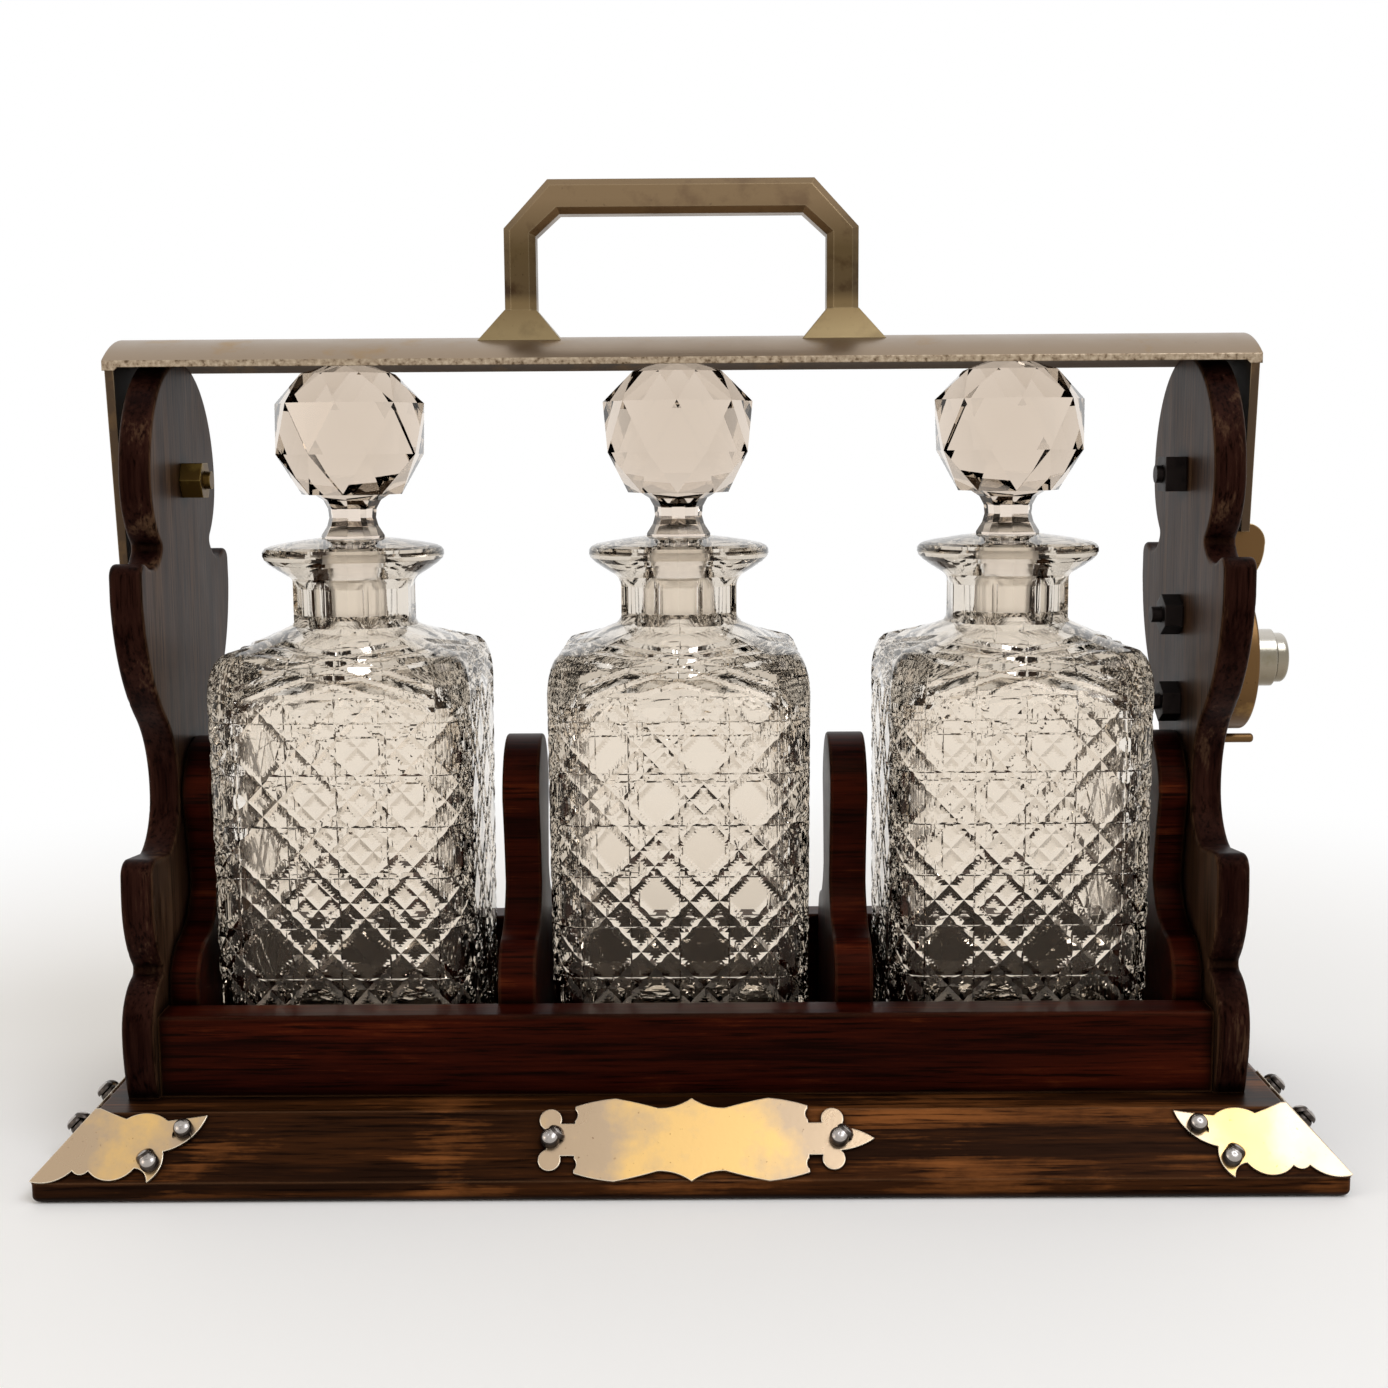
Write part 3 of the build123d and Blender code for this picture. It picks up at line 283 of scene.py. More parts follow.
def handled_metal(name, ground, patch, pit, patch_mm, roughness, rim_wear_and_highlight, share, pitting, places=None,
                  brushed=None, by_height=None, pitted_edge=None, blend=0.16):
    """Cast, rolled or plated metal worn by hands: cloudy patches, dark pits, a brighter rim that is
    partly rubbed wear and partly a painted highlight.

    share and pitting say how much of it the patches and the pits take; places moves the patches along
    the stand; brushed is the stretch of its fine rubbing marks; by_height gives (mm, colour) pairs
    that tone it by height, painted light and shade on the lock barrel and darker legs on the handle;
    pitted_edge is the half width past which a rolled edge shows its pits, and blend how softly the
    patches fade.
    """
    material, tree = new_material(name)
    place = add_node(tree, "TexCoord")
    cloud = add_node(tree, "TexNoise", {"Scale": 1 / (patch_mm * MM), "Detail": 6.0, "Roughness": 0.62},
                     {"Vector": place.outputs["Object"]}).outputs[0]
    if places:
        cloud = add_node(tree, "Math", {"operation": "MULTIPLY_ADD", 1: PLACE_IN_PATCHES},
                         {0: along_the_stand(tree, places), 2: cloud}).outputs[0]
    speck = add_node(tree, "TexNoise", {"Scale": 1 / (PIT_MM * MM), "Detail": 2.0},
                     {"Vector": place.outputs["Object"]})
    low = 0.70 - 0.36 * share
    patched = add_node(tree, "ValToRGB", {"stops": [(low, ground), (low + blend, patch)]}, {0: cloud})
    pits = add_node(tree, "ValToRGB", {"stops": [(0.78 - 0.2 * pitting, "#ffffff"),
                                                 (0.86 - 0.2 * pitting, pit)]},
                    {0: speck.outputs[0]})
    colour = add_node(tree, "Mix", {"data_type": "RGBA", "blend_type": "MULTIPLY", 0: 0.7},
                      {6: patched.outputs[0], 7: pits.outputs[0]})
    edge, rounded = edge_mask_and_normal(tree, RIM_MM)
    # the rim colour along the edges: partly rubbed wear, partly a painted highlight
    if rim_wear_and_highlight:
        colour = add_node(tree, "Mix", {"data_type": "RGBA", 7: linear(rim_wear_and_highlight)},
                          {0: edge, 6: colour.outputs[2]})
    axes = add_node(tree, "SeparateXYZ", {}, {0: place.outputs["Object"]})
    # tone by height: painted light and shade on the lock barrel, darker legs between paler feet and grip
    # on the handle
    if by_height:
        lowest, highest = by_height[0][0], by_height[-1][0]
        share_up = add_node(tree, "MapRange", {"From Min": lowest * MM, "From Max": highest * MM},
                            {"Value": axes.outputs["Z"]})
        stops = [((height - lowest) / (highest - lowest), tone) for height, tone in by_height]
        toned = add_node(tree, "ValToRGB", {"stops": stops}, {0: share_up.outputs[0]})
        colour = add_node(tree, "Mix", {"data_type": "RGBA", 0: 0.7},
                          {6: colour.outputs[2], 7: toned.outputs[0]})
    if pitted_edge:
        off_middle = add_node(tree, "Math", {"operation": "ABSOLUTE"}, {0: axes.outputs["Y"]})
        on_edge = add_node(tree, "Math", {"operation": "GREATER_THAN",
                                          1: (pitted_edge - EDGE_SKIN_MM) * MM},
                           {0: off_middle.outputs[0]})
        hollow = add_node(tree, "TexNoise", {"Scale": 1 / (EDGE_PIT_MM * MM), "Detail": 4.0,
                                             "Roughness": 0.6}, {"Vector": place.outputs["Object"]})
        rough = add_node(tree, "ValToRGB", {"stops": [(0.34, "#5f4e3b"), (0.44, "#93806a"),
                                                      (0.64, "#b9a78f")]}, {0: hollow.outputs[0]})
        colour = add_node(tree, "Mix", {"data_type": "RGBA"},
                          {0: on_edge.outputs[0], 6: colour.outputs[2], 7: rough.outputs[0]})
    marks = speck
    if brushed:
        marks = add_node(tree, "TexNoise", {"Scale": 1 / (RUBBING_MM * MM), "Detail": 3.0},
                         {"Vector": stretched(tree, brushed).outputs[0]})
    bump = add_node(tree, "Bump", {"Strength": 0.22, "Distance": MARK_DEPTH_MM * MM},
                    {"Height": marks.outputs[0], "Normal": rounded})
    dull = add_node(tree, "MapRange", {"To Min": roughness - BRIGHTER, "To Max": roughness + DULLER},
                    {"Value": cloud})
    surface = add_node(tree, "BsdfPrincipled", {"Metallic": 1.0},
                       {"Base Color": colour.outputs[2], "Roughness": dull.outputs[0],
                        "Normal": bump.outputs[0]})
    add_node(tree, "OutputMaterial", {}, {"Surface": surface.outputs[0]})
    return material


# Oak rails, stained and waxed smooth: red-black with a low sheen.
rail_oak = stained_oak("stained_oak_rails", "X", "#120202", "#3a1006", "#5c2a12", 0.13, 0.10)
# Oak boards, their flat faces a lighter grey-brown that partly paints their sheen (the specular is turned
# down), their sawn edges darker and redder.
board_oak = stained_oak("stained_oak_boards", "Z", "#2a1a10", "#4c3626", "#5c4632", 0.14, 0.05,
                        None, "#2e1913")
# Oak base, dusted and knocked for a century: near black, worn to orange brown beside the mounts.
base_oak = stained_oak("stained_oak_base", "X", "#180c06", "#42240f", "#7c4a24", 0.16, 0.10,
                       [(-170, "#404040"), (-140, "#909090"), (-105, "#202020"), (-68, "#e0e0e0"),
                        (-40, "#303030"), (45, "#404040"), (75, "#e8e8e8"), (120, "#989898")])
# Nickel plate rubbed thin over brass: soft grey beige, warmer where the brass comes through.
worn_nickel = handled_metal("worn_nickel_plate", "#97846f", "#9a7c52", "#6a5844", 16, 0.30, None,
                            0.28, 0.15, [(-165, "#202020"), (-146, "#606060"), (-125, "#101010"),
                                         (-87, "#808080"), (-60, "#101010"), (115, "#101010"),
                                         (135, "#606060"), (155, "#202020")], (0.03, 1, 1),
                            pitted_edge=STRIP_HALF_WIDTH)
# Cast handle, plate long gone: brown and cloudy, paler at the feet and along the grip.
rubbed_handle = handled_metal("rubbed_nickel_handle", "#8a7452", "#543f2a", "#2c2014", 9, 0.32, "#c4b28e",
                              0.5, 0.45, by_height=[(246, "#857454"), (255, "#6a573b"), (258, "#281a10"),
                                                    (271, "#32230f"), (286, "#7e6850")])
# Turned and cast brass, left to go brown: golden only on its rims, partly rubbed and partly a painted
# highlight.
brown_brass = handled_metal("brown_patinated_brass", "#664c2f", "#8f6f42", "#2c2014", 9, 0.36, "#cdb284",
                            0.45, 0.4)
# Sheet brass nobody polishes: dull brown-black with some gold flecks.
arm_brass = handled_metal("tarnished_arm_brass", "#4d3e30", "#6b5439", "#2c2014", 14, 0.45, "#8d7a60",
                          0.4, 0.35)
# Filed brass nut, greasy and olive.
olive_brass = handled_metal("olive_brass_nut", "#5b4520", "#7c6430", "#1c1408", 5, 0.42, "#8a7440",
                            0.5, 0.5)
# Turned lock barrel, still plated; its tone by height is painted light and shade: bright on top, darker
# underneath and in a band above the middle.
barrel_plate_painted_light = handled_metal("turned_plate_painted_light_and_shade", "#9a9184", "#7a6c50", "#4d4334", 5, 0.20, "#d2ccc0",
                             0.5, 0.2, by_height=[(134, "#6e6248"), (142, "#8a806c"), (147, "#76705f"),
                                                  (152, "#d6d1c8")])
# Oil-blackened steel: matt and nearly black.
dark_steel = handled_metal("oil_blackened_steel", "#2a2422", "#1c1817", "#0e0c0b", 6, 0.50, "#3a3431",
                           0.5, 0.4)
# Domed steel nails: crowns painted bright as a highlight, skirts painted dark as shade.
nail_crown_painted_highlight = handled_metal("nail_crown_with_painted_highlight", "#a39c96", "#6a635e", "#4c4642", 2.5, 0.22, None,
                           0.4, 0.1)
nail_skirt_painted_shade = handled_metal("nail_skirt_with_painted_shade", "#4e4742", "#352f2b", "#1c1816", 3.5, 0.34, None,
                           0.5, 0.3)
# Pressed brass, plated and then polished through: gold in the middle, silver beige at the ends.
plate_brass = handled_metal("polished_brass_under_worn_plate", "#b59d81", "#dab373", "#8a6838", 20, 0.26,
                            "#f4e9d4", 0.42, 0.34,
                            [(-172, "#404040"), (-160, "#c0c0c0"), (-146, "#202020"), (-32, "#080808"),
                             (-16, "#c8c8c8"), (20, "#c8c8c8"), (38, "#080808"), (142, "#202020"),
                             (156, "#ffffff"), (172, "#606060")], blend=0.26)

finishes = {
    rail_oak: ["front_rail", "back_rail", "divider_left", "divider_right", "cheek_left", "cheek_right"],
    board_oak: ["end_board_left", "end_board_right"],
    base_oak: ["base_board"],
    rubbed_handle: ["handle"],
    arm_brass: ["arm_left", "arm_right"],
    brown_brass: ["lock_case", "lock_keeper", "lock_peg", "lock_plug", "lock_bolt", "pivot_washers"],
    olive_brass: ["pivot_nut_left", "pivot_bolt_left"],
    barrel_plate_painted_light: ["lock_barrel"],
    dark_steel: ["pivot_nut_right", "pivot_bolt_right", "lock_studs", "lock_nuts", "board_screws",
                 "handle_screws"],
    plate_brass: ["corner_mount_front_left", "corner_mount_front_right", "corner_mount_back_left",
                  "corner_mount_back_right", "nameplate"],
}
for material, names in finishes.items():
    for name in names:
        data = nodes[name].data
        data.materials.clear()
        data.materials.append(material)


# ---------------------------------------------------------------- glass
def lead_crystal(name, tint, roughness, absorbing=12.0):
    """Lead crystal: colourless in itself, warm and a little olive through its thickness."""
    material, tree = new_material(name)
    glass = add_node(tree, "BsdfPrincipled", {"Base Color": linear(tint), "Roughness": roughness,
                                              "IOR": 1.54, "Transmission Weight": 1.0,
                                              "Specular Tint": linear("#b0a294")})
    depth = add_node(tree, "VolumeAbsorption", {"Color": linear("#b9a98c"), "Density": absorbing})
    add_node(tree, "OutputMaterial", {}, {"Surface": glass.outputs[0], "Volume": depth.outputs[0]})
    return material


# Cut and polished crystal: sharp glints off every mitre, dark where it bends the view away.
crystal = lead_crystal("hand_cut_lead_crystal", "#f7f1e9", 0.0)
# The same crystal in wide flat cuts, thicker and so a touch rosier.
stopper_crystal = lead_crystal("flat_cut_stopper_crystal", "#f2e5d9", 0.0)
# Emery-ground plug: frosted white, and nothing is seen sharply through it.
ground_glass = lead_crystal("ground_glass_plug", "#fffcf8", 0.28, 1.0)

DECANTER_PLACES = {"left": -103.2, "middle": -1.5, "right": 101.2}
CELL_STEPS, CELL_HEIGHT = 20, 15.6      # mesh steps to one square of the cane cutting, and its height
AROUND = 20 * CELL_STEPS     # four squares to a side and one round each corner
SIDE_STEPS, FLAT_STEPS = AROUND / 4, AROUND / 5
CORNER_STEPS = SIDE_STEPS - FLAT_STEPS

# The decanter's outline in mm, from the foot up outside and down inside.
BODY_HALF, BODY_FOOT_HALF, CORNER_RADIUS = 39.5, 38.9, 9.7
FOOT_Z, FOOT_HOLLOW = 21.7, 1.2
# (half width, z) from the top of the wall to the root of the neck
SHOULDER = [(39.5, 138.0), (39.3, 140.9), (38.9, 143.4), (38.2, 146.0), (37.2, 148.2), (35.7, 149.9),
            (33.4, 151.0), (29.5, 152.6), (25.0, 154.5), (19.6, 156.9)]
SHOULDER_STEP, ROUNDS_FROM = 0.42, 35.0      # mm between rings, and the half width where it turns round
SHOULDER_SLOPE = 0.6         # a cut there goes down by this share of its depth
NECK_RADIUS, NECK_ROOT, NECK_RISE, NECK_RINGS = 19.3, 156.9, 14.1, 12
# (radius, z) round the lip and into the mouth
LIP = [(19.8, 171.8), (21.0, 172.6), (23.6, 174.2), (26.2, 176.0), (27.6, 177.4), (28.1, 178.6),
       (28.0, 179.9), (27.2, 180.9), (25.6, 181.6), (21.0, 182.5), (15.0, 183.4), (11.2, 183.8),
       (10.3, 183.5), (10.0, 182.8)]
MOUTH_TAPER, MOUTH_DEPTH, MOUTH_RINGS = 0.8, 27.0, 8
# (half width, corner radius, roundness, z) down the inside
INSIDE = [(10.2, 9.0, 1.0, 152.5), (14.0, 9.0, 0.9, 149.6), (20.0, 8.0, 0.6, 146.6),
          (26.0, 7.5, 0.3, 143.2), (31.0, 7.0, 0.1, 139.6), (33.2, 7.0, 0.0, 134.5),
          (33.5, 7.0, 0.0, 128.0), (33.3, 7.0, 0.0, 80.0), (33.0, 7.0, 0.0, 38.0),
          (31.8, 7.0, 0.0, 33.6), (28.6, 6.5, 0.0, 31.4), (2.0, 2.0, 1.0, 30.6)]

# The cutting: half widths in mesh steps, depths in mm. The uprights and level mitres are a hairline
# wide, and the doubled diagonals run at these steps of two squares.
UPRIGHT_WIDTH, UPRIGHT_DEPTH, LEVEL_WIDTH, LEVEL_DEPTH = 1.0, 0.26, 1.0, 0.30
CORNER_WIDENS, CORNER_DEEPENS = 2.6, 0.90
DIAGONAL_WIDTH, DIAGONAL_DEPTH = 3.1, 0.92
RISING_AT, FALLING_AT = (14, 26), (6, 34)
CANE_TOP = 120.0             # mm above the foot, at a side's middle
# the fans on the shoulders: mm above the foot, lean to the side's end, bend, half width and depth
FAN_HEIGHTS, FAN_LEAN, FAN_BEND, FAN_WIDTH, FAN_DEPTH = (130.5, 126.0, 121.5), 8.5, 1.5, 2.0, 0.9


def hairline(count):
    """Mesh steps drawn close to the upright and level mitres, which are a hairline wide."""
    return count + {1: -0.6, CELL_STEPS - 1: 0.6}.get(count % CELL_STEPS, 0.0)


def off_centre(step):
    """Mesh steps from the middle of the side that a step is on."""
    return (step + SIDE_STEPS / 2) % SIDE_STEPS - SIDE_STEPS / 2


def ring_point(step, half, corner, roundness):
    """A point of the plan outline, and its outward direction.

    step runs round from the front's middle; roundness 1 is a circle of the same half width.
    """
    side, place = divmod(hairline(step) + SIDE_STEPS / 2, SIDE_STEPS)
    run = place - SIDE_STEPS / 2
    flat_half = half - corner
    if abs(run) <= FLAT_STEPS / 2:
        x, y, nx, ny = run / (FLAT_STEPS / 2) * flat_half, -half, 0.0, -1.0
    else:
        turn = (abs(run) - FLAT_STEPS / 2) / (CORNER_STEPS / 2) * math.pi / 4
        sign = 1 if run > 0 else -1
        nx, ny = sign * math.sin(turn), -math.cos(turn)
        x, y = sign * flat_half + corner * nx, -flat_half + corner * ny
    angle = run / AROUND * 2 * math.pi
    cx, cy = half * math.sin(angle), -half * math.cos(angle)
    x, y = x + (cx - x) * roundness, y + (cy - y) * roundness
    nx, ny = nx + (math.sin(angle) - nx) * roundness, ny + (-math.cos(angle) - ny) * roundness
    length = math.hypot(nx, ny)
    quarter = side * math.pi / 2
    c, s = math.cos(quarter), math.sin(quarter)
    return (x * c - y * s, x * s + y * c, (nx * c - ny * s) / length, (nx * s + ny * c) / length)


def mitre(distance, half_width, depth):
    """Depth of a V cut at a distance from its line."""
    return max(0.0, depth * (1 - distance / half_width))


def cane_cut(step, level):
    """Depth of the cane cutting in mm; step and level count mesh steps round and up."""
    upright = min(step % CELL_STEPS, -step % CELL_STEPS)
    across = min(level % CELL_STEPS, -level % CELL_STEPS)
    rising, falling = (step - level) % (2 * CELL_STEPS), (step + level) % (2 * CELL_STEPS)
    rising = min(abs(rising - line) for line in RISING_AT)
    falling = min(abs(falling - line) for line in FALLING_AT)
    on_corner = max(0.0, (abs(off_centre(step)) - FLAT_STEPS / 2) / (CORNER_STEPS / 2))
    return max(mitre(upright, UPRIGHT_WIDTH, UPRIGHT_DEPTH),
               mitre(across, LEVEL_WIDTH + CORNER_WIDENS * on_corner,
                     LEVEL_DEPTH + CORNER_DEEPENS * on_corner),
               mitre(rising, DIAGONAL_WIDTH, DIAGONAL_DEPTH),
               mitre(falling, DIAGONAL_WIDTH, DIAGONAL_DEPTH))


def shoulder_cut(step, rise):
    """Depth of the crossing curved mitres on each shoulder; rise is mm above the foot."""
    run = off_centre(step) / (FLAT_STEPS / 2)
    if abs(run) > 1.0:
        return 0.0
    depth = 0.0
    for middle in FAN_HEIGHTS:
        for lean in (-FAN_LEAN, FAN_LEAN):
            line = middle + lean * run - FAN_BEND * run * run
            depth = max(depth, mitre(abs(rise - line), FAN_WIDTH, FAN_DEPTH))
    return depth


def neck_panel(step, share):
    """How far the eight slices of the neck cut in from the round; they run out at both ends."""
    panel = AROUND / 8
    off = abs((step + panel / 2) % panel - panel / 2) / (panel / 2)
    angle = off * math.pi / 8
    reach = 1 - math.cos(math.pi / 8) / math.cos(angle)
    return NECK_RADIUS * reach * min(1.0, share * 5, (1 - share) * 5 + 0.15)


def decanter_rows():
    """Every ring of the decanter from the middle of the foot up outside and down inside.

    A ring is (kind, half, corner, roundness, z, rise). rise is the level on the wall, mm above the
    foot on the shoulder and the share of the height on the neck.
    """
    rows = [("plain", 2.0, 2.0, 1.0, FOOT_Z + FOOT_HOLLOW, 0),
            ("plain", 30.0, 8.0, 0.0, FOOT_Z + FOOT_HOLLOW / 2, 0),
            ("plain", BODY_FOOT_HALF - 2.0, CORNER_RADIUS - 1, 0.0, FOOT_Z, 0)]
    wall_top = int((SHOULDER[0][1] - FOOT_Z) / CELL_HEIGHT * CELL_STEPS)
    for level in range(1, wall_top + 1):
        z = FOOT_Z + hairline(level) / CELL_STEPS * CELL_HEIGHT
        half = BODY_FOOT_HALF + (BODY_HALF - BODY_FOOT_HALF) * level / wall_top
        rows.append(("cane", half, CORNER_RADIUS, 0.0, z, level))
    rise = wall_top / CELL_STEPS * CELL_HEIGHT
    for (h0, z0), (h1, z1) in zip(SHOULDER, SHOULDER[1:]):
        length = math.hypot(h1 - h0, z1 - z0)
        parts = max(2, round(length / SHOULDER_STEP))
        for k in range(1, parts + 1):
            f = k / parts
            half, z = h0 + (h1 - h0) * f, z0 + (z1 - z0) * f
            roundness = min(1.0, max(0.0, (ROUNDS_FROM - half) / (ROUNDS_FROM - SHOULDER[-1][0])))
            rows.append(("shoulder", half, CORNER_RADIUS * half / BODY_HALF, roundness, z,
                         rise + length * f))
        rise += length
    for k in range(1, NECK_RINGS + 1):
        rows.append(("neck", NECK_RADIUS, NECK_RADIUS, 1.0, NECK_ROOT + NECK_RISE * k / NECK_RINGS,
                     k / NECK_RINGS))
    for radius, z in LIP:
        rows.append(("plain", radius, radius, 1.0, z, 0))
    mouth_radius, mouth_z = LIP[-1]
    for k in range(1, MOUTH_RINGS + 1):
        rows.append(("plain", mouth_radius - MOUTH_TAPER * k / MOUTH_RINGS, mouth_radius - MOUTH_TAPER,
                     1.0, mouth_z - MOUTH_DEPTH * k / MOUTH_RINGS, 0))
    for half, corner, roundness, z in INSIDE:
        rows.append(("plain", half, corner, roundness, z, 0))
    return rows


def decanter_mesh():
    """One decanter about the Z axis, cut all round, with its inside."""
    rows = decanter_rows()
    vertices, faces = [], []
    for kind, half, corner, roundness, z, rise in rows:
        for step in range(AROUND):
            x, y, nx, ny = ring_point(step, half, corner, roundness)
            depth = 0.0
            if kind == "cane":
                run = off_centre(step) / (FLAT_STEPS / 2)
                height = rise / CELL_STEPS * CELL_HEIGHT
                if height < CANE_TOP - FAN_LEAN * min(1.0, abs(run)):
                    depth = cane_cut(step, rise)
                depth = max(depth, shoulder_cut(step, height))
            elif kind == "shoulder":
                depth = shoulder_cut(step, rise)
            elif kind == "neck":
                depth = neck_panel(step, rise)
            sunk = depth * SHOULDER_SLOPE if kind == "shoulder" else 0.0
            vertices.append(((x - nx * depth) * MM, (y - ny * depth) * MM, (z - sunk) * MM))
    for j in range(len(rows) - 1):
        for i in range(AROUND):
            a, b = j * AROUND + i, j * AROUND + (i + 1) % AROUND
            c, d = b + AROUND, a + AROUND
            if rows[j][0] == rows[j + 1][0] == "cane":      # split both ways, as the diagonals run
                if (i + rows[j][5]) % 2 == 0:
                    faces += [(a, b, c), (a, c, d)]
                else:
                    faces += [(a, b, d), (b, c, d)]
            else:
                faces.append((a, b, c, d))
    first = len(vertices)
    vertices += [(0, 0, rows[0][4] * MM), (0, 0, rows[-1][4] * MM)]
    last = (len(rows) - 1) * AROUND
    for i in range(AROUND):
        n = (i + 1) % AROUND
        faces += [(first, n, i), (first + 1, last + i, last + n)]
    mesh = bpy.data.meshes.new("cut_decanter")
    mesh.from_pydata(vertices, [], faces)
    mesh.materials.append(crystal)
    return mesh


def faceted_rings(rings, count):
    """A closed body of flat-cut facets.

    Each ring (radius, z, turn in half steps) has count corners, joined to the next by triangles where
    the turn changes and by four-sided facets where not.
    """
    vertices, faces = [], []
    for radius, z, turn in rings:
        for i in range(count):
            angle = (i + turn / 2) / count * 2 * math.pi
            vertices.append((radius * math.sin(angle) * MM, -radius * math.cos(angle) * MM, z * MM))
    for j in range(len(rings) - 1):
        twist = rings[j + 1][2] - rings[j][2]
        for i in range(count):
            a, b = j * count + i, j * count + (i + 1) % count
            d, c = a + count, b + count
            if twist == 1:
                faces += [(a, b, d), (b, c, d)]
            elif twist == -1:
                faces += [(a, b, c), (a, c, d)]
            else:
                faces.append((a, b, c, d))
    faces.append(tuple(reversed(range(count))))
    faces.append(tuple(range(len(vertices) - count, len(vertices))))
    return vertices, faces


PLUG = [(9.3, 160.0, 0), (9.85, 183.8, 0), (9.9, 184.6, 0)]
STEM = [(9.4, 185.4, 0), (8.0, 187.6, 0), (7.3, 190.2, 0), (7.6, 193.0, 0), (9.0, 195.6, 0),
        (11.5, 197.2, 0)]
BALL = [(15.6, 197.4, 0), (23.2, 209.75, 1), (23.2, 225.25, 0), (14.8, 234.3, 1), (7.0, 236.9, 0)]
GROUND_BELOW = 183           # mm: faces with their middle under this are ground


def stopper_mesh():
    """The ground plug, the fluted stem and the ball with its belts of three-cornered facets."""
    vertices, faces = faceted_rings(PLUG + STEM + BALL, 8)
    mesh = bpy.data.meshes.new("ball_stopper")
    mesh.from_pydata(vertices, [], faces)
    mesh.materials.append(stopper_crystal)
    mesh.materials.append(ground_glass)
    for face in mesh.polygons:
        face.material_index = 1 if face.center.z < GROUND_BELOW * MM else 0
    return mesh


def add_piece(name, mesh, body, slot, *replaced, x=0.0):
    """A piece of the object: in place, riding its body, standing for the nodes it replaces."""
    piece = bpy.data.objects.new(name, mesh)
    piece.location = (x * MM, 0, 0)
    bpy.context.scene.collection.objects.link(piece)
    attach(piece, body)
    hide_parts(*replaced)


# ---------------------------------------------------------------- locking bar
PIVOT_Z = 202.0
STRIP_OUTER, STRIP_INNER, STRIP_HALF_LENGTH = 43.0, 40.6, 171.85
THINNED_FROM, THINNED_BY = 18.0, 0.8
# (x, 1 where the edges are thinned): full thickness over each arm
STRIP_STATIONS = [(-STRIP_HALF_LENGTH, 0), (-168.2, 0), (-167.2, 1), (-60, 1), (60, 1), (167.2, 1),
                  (168.2, 0), (STRIP_HALF_LENGTH, 0)]
ARCH_STEPS = 40


def arched_strip():
    """The rolled strip over the stoppers, its long edges thinned from below between the arms."""
    vertices, faces = [], []
    for x, thinned in STRIP_STATIONS:
        for side in (1, -1):
            for i in range(ARCH_STEPS + 1):
                y = side * (-STRIP_HALF_WIDTH + 2 * STRIP_HALF_WIDTH * i / ARCH_STEPS)
                near_edge = max(0.0, (abs(y) - THINNED_FROM) / (STRIP_HALF_WIDTH - THINNED_FROM))
                radius = STRIP_OUTER if side == 1 else STRIP_INNER + THINNED_BY * thinned * near_edge
                vertices.append((x * MM, y * MM, (PIVOT_Z + math.sqrt(radius ** 2 - y ** 2)) * MM))
    ring = 2 * (ARCH_STEPS + 1)
    for j in range(len(STRIP_STATIONS) - 1):
        for i in range(ring):
            a, b = j * ring + i, j * ring + (i + 1) % ring
            faces.append((a, a + ring, b + ring, b))
    last = (len(STRIP_STATIONS) - 1) * ring
    for i in range(ARCH_STEPS):
        a, b, c, d = i, i + 1, ring - 2 - i, ring - 1 - i
        faces.append((a, b, c, d))
        faces.append((last + a, last + d, last + c, last + b))
    mesh = bpy.data.meshes.new("arched_strip")
    mesh.from_pydata(vertices, [], faces)
    mesh.polygons.foreach_set("use_smooth", [True] * len(faces))
    mesh.set_sharp_from_angle(angle=SHARP_ANGLE)
    mesh.materials.append(worn_nickel)
    mesh.materials.append(arm_brass)
    for face in mesh.polygons:
        face.material_index = 1 if face.normal.z < -0.5 else 0      # the underside takes the darker arm brass: painted shade under the strip
    return mesh


# ---------------------------------------------------------------- nails
# (radius, height) of a head, from its rim to the tiny pit in its crown
NAIL_DOME = [(2.75, 0.0), (2.72, 0.35), (2.55, 0.85), (2.2, 1.3), (1.7, 1.66), (1.05, 1.9), (0.45, 1.98),
             (0.25, 1.95), (0.12, 1.85)]
NAIL_PIT, NAIL_AROUND, SKIRT_RINGS = 1.82, 28, 3


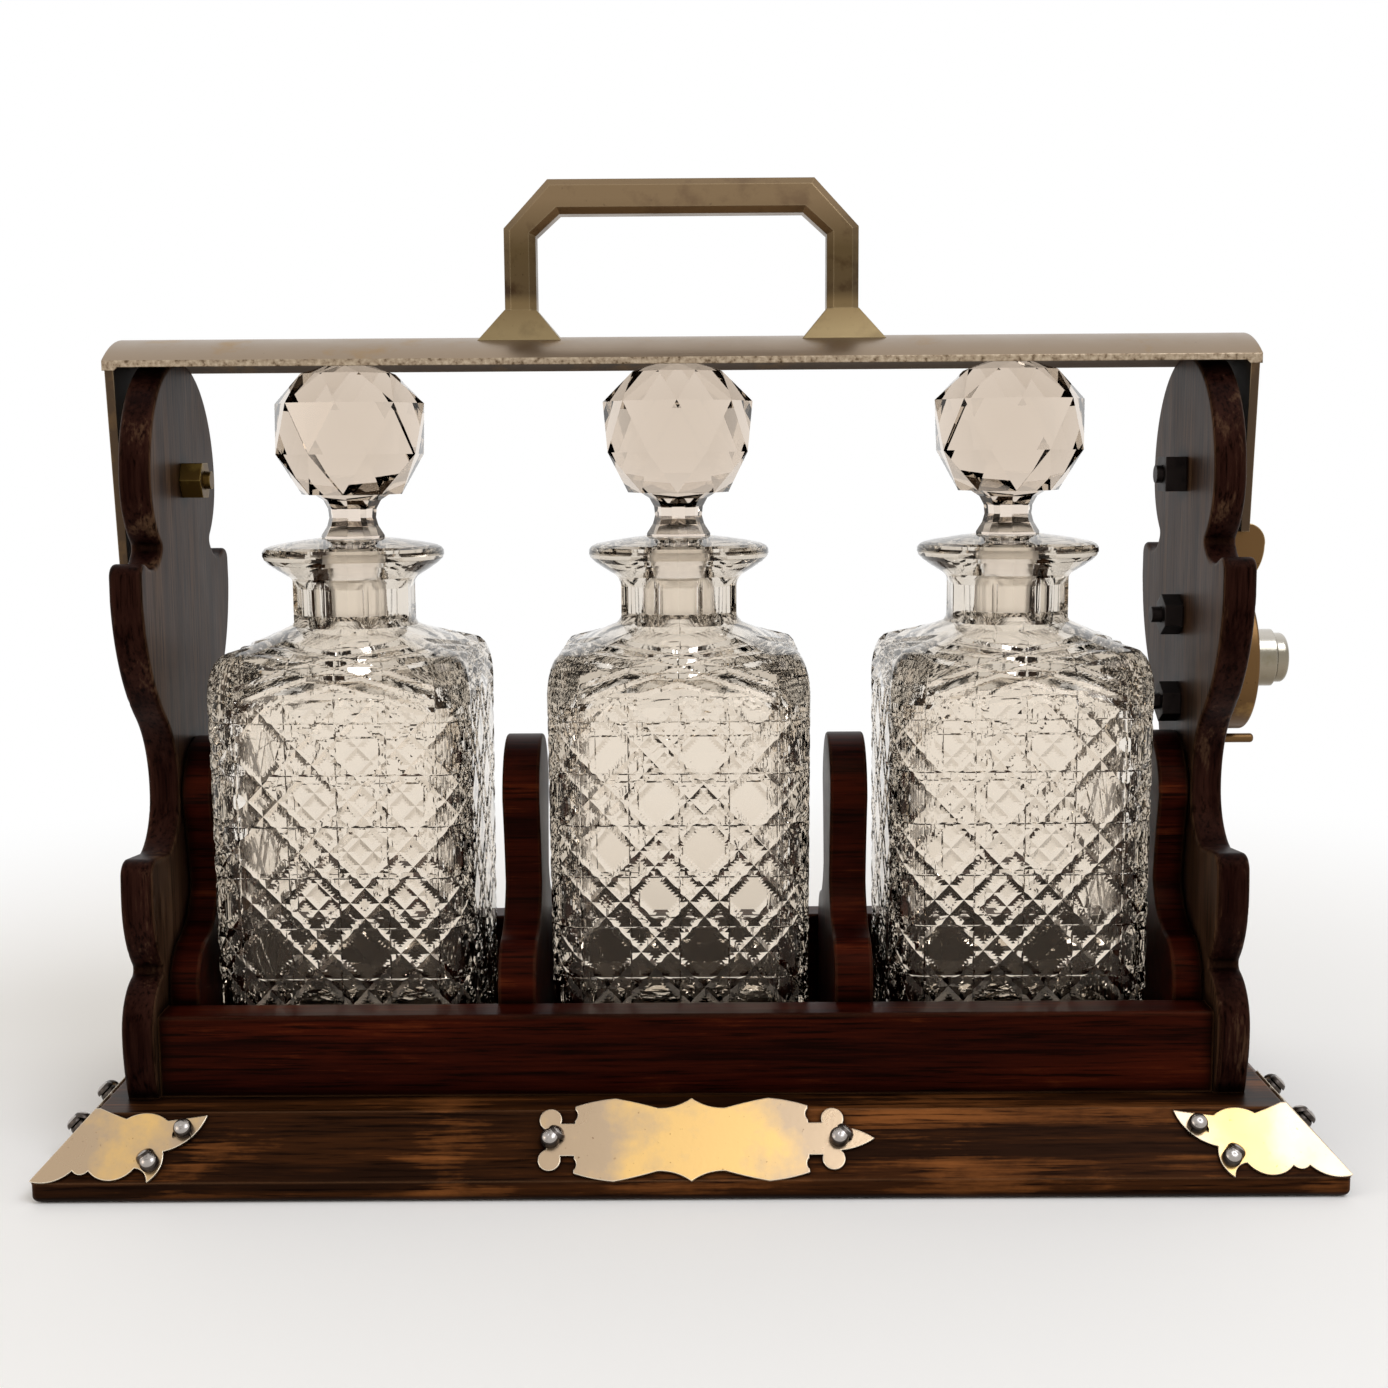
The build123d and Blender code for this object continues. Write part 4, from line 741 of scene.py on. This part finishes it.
def nail_heads():
    """Domed nail heads with a tiny pit in the crown, one on each of the solid's nails."""
    solid = nodes["mount_nails"].data
    group = list(range(len(solid.vertices)))

    def root(i):
        while group[i] != i:
            group[i] = group[group[i]]
            i = group[i]
        return i

    for a, b in (edge.vertices for edge in solid.edges):
        group[root(a)] = root(b)
    heads = {}
    for face in solid.polygons:
        head = heads.setdefault(root(face.vertices[0]), {})
        key = tuple(round(v, 2) for v in face.normal)
        head.setdefault(key, [0.0, Vector(), face.normal.copy()])
        head[key][0] += face.area
        head[key][1] += face.center * face.area
    vertices, faces = [], []
    for head in heads.values():
        # its largest flat side is the underside, which lies on the mount
        area, middle, out = max(head.values(), key=lambda flat: flat[0])
        foot = middle / area
        if out.z < 0:
            out = -out
        side = out.orthogonal().normalized()
        cross = out.cross(side)
        first = len(vertices)
        for radius, height in NAIL_DOME:
            for i in range(NAIL_AROUND):
                angle = i / NAIL_AROUND * 2 * math.pi
                vertices.append(foot + (side * math.cos(angle) + cross * math.sin(angle)) * radius * MM
                                + out * height * MM)
        vertices.append(foot + out * NAIL_PIT * MM)
        for ring in range(len(NAIL_DOME) - 1):
            start = first + ring * NAIL_AROUND
            for i in range(NAIL_AROUND):
                a, b = start + i, start + (i + 1) % NAIL_AROUND
                faces.append((a, b, b + NAIL_AROUND, a + NAIL_AROUND))
        top = first + (len(NAIL_DOME) - 1) * NAIL_AROUND
        faces += [(top + i, top + (i + 1) % NAIL_AROUND, len(vertices) - 1) for i in range(NAIL_AROUND)]
    mesh = bpy.data.meshes.new("nail_heads")
    mesh.from_pydata(vertices, [], faces)
    mesh.polygons.foreach_set("use_smooth", [True] * len(faces))
    mesh.materials.append(nail_crown_painted_highlight)
    mesh.materials.append(nail_skirt_painted_shade)
    # the lowest rings take the dark steel and the rest the bright: painted shade on the skirt, painted
    # highlight on the crown
    faces_per_head = NAIL_AROUND * len(NAIL_DOME)
    for face in mesh.polygons:
        face.material_index = 1 if face.index % faces_per_head < SKIRT_RINGS * NAIL_AROUND else 0
    return mesh


cut_decanter, ball_stopper = decanter_mesh(), stopper_mesh()
for label, x in DECANTER_PLACES.items():
    add_piece(f"cut_decanter_{label}", cut_decanter, f"decanter_{label}_body", "cut_glass",
              f"decanter_{label}", x=x)
    add_piece(f"ball_stopper_{label}", ball_stopper, f"stopper_{label}_body", "cut_glass",
              f"stopper_{label}", x=x)

add_piece("arched_bar_strip", arched_strip(), "bar", "worn_nickel", "bar_strip")
add_piece("domed_nail_heads", nail_heads(), "stand", "steel_fixings", "mount_nails")
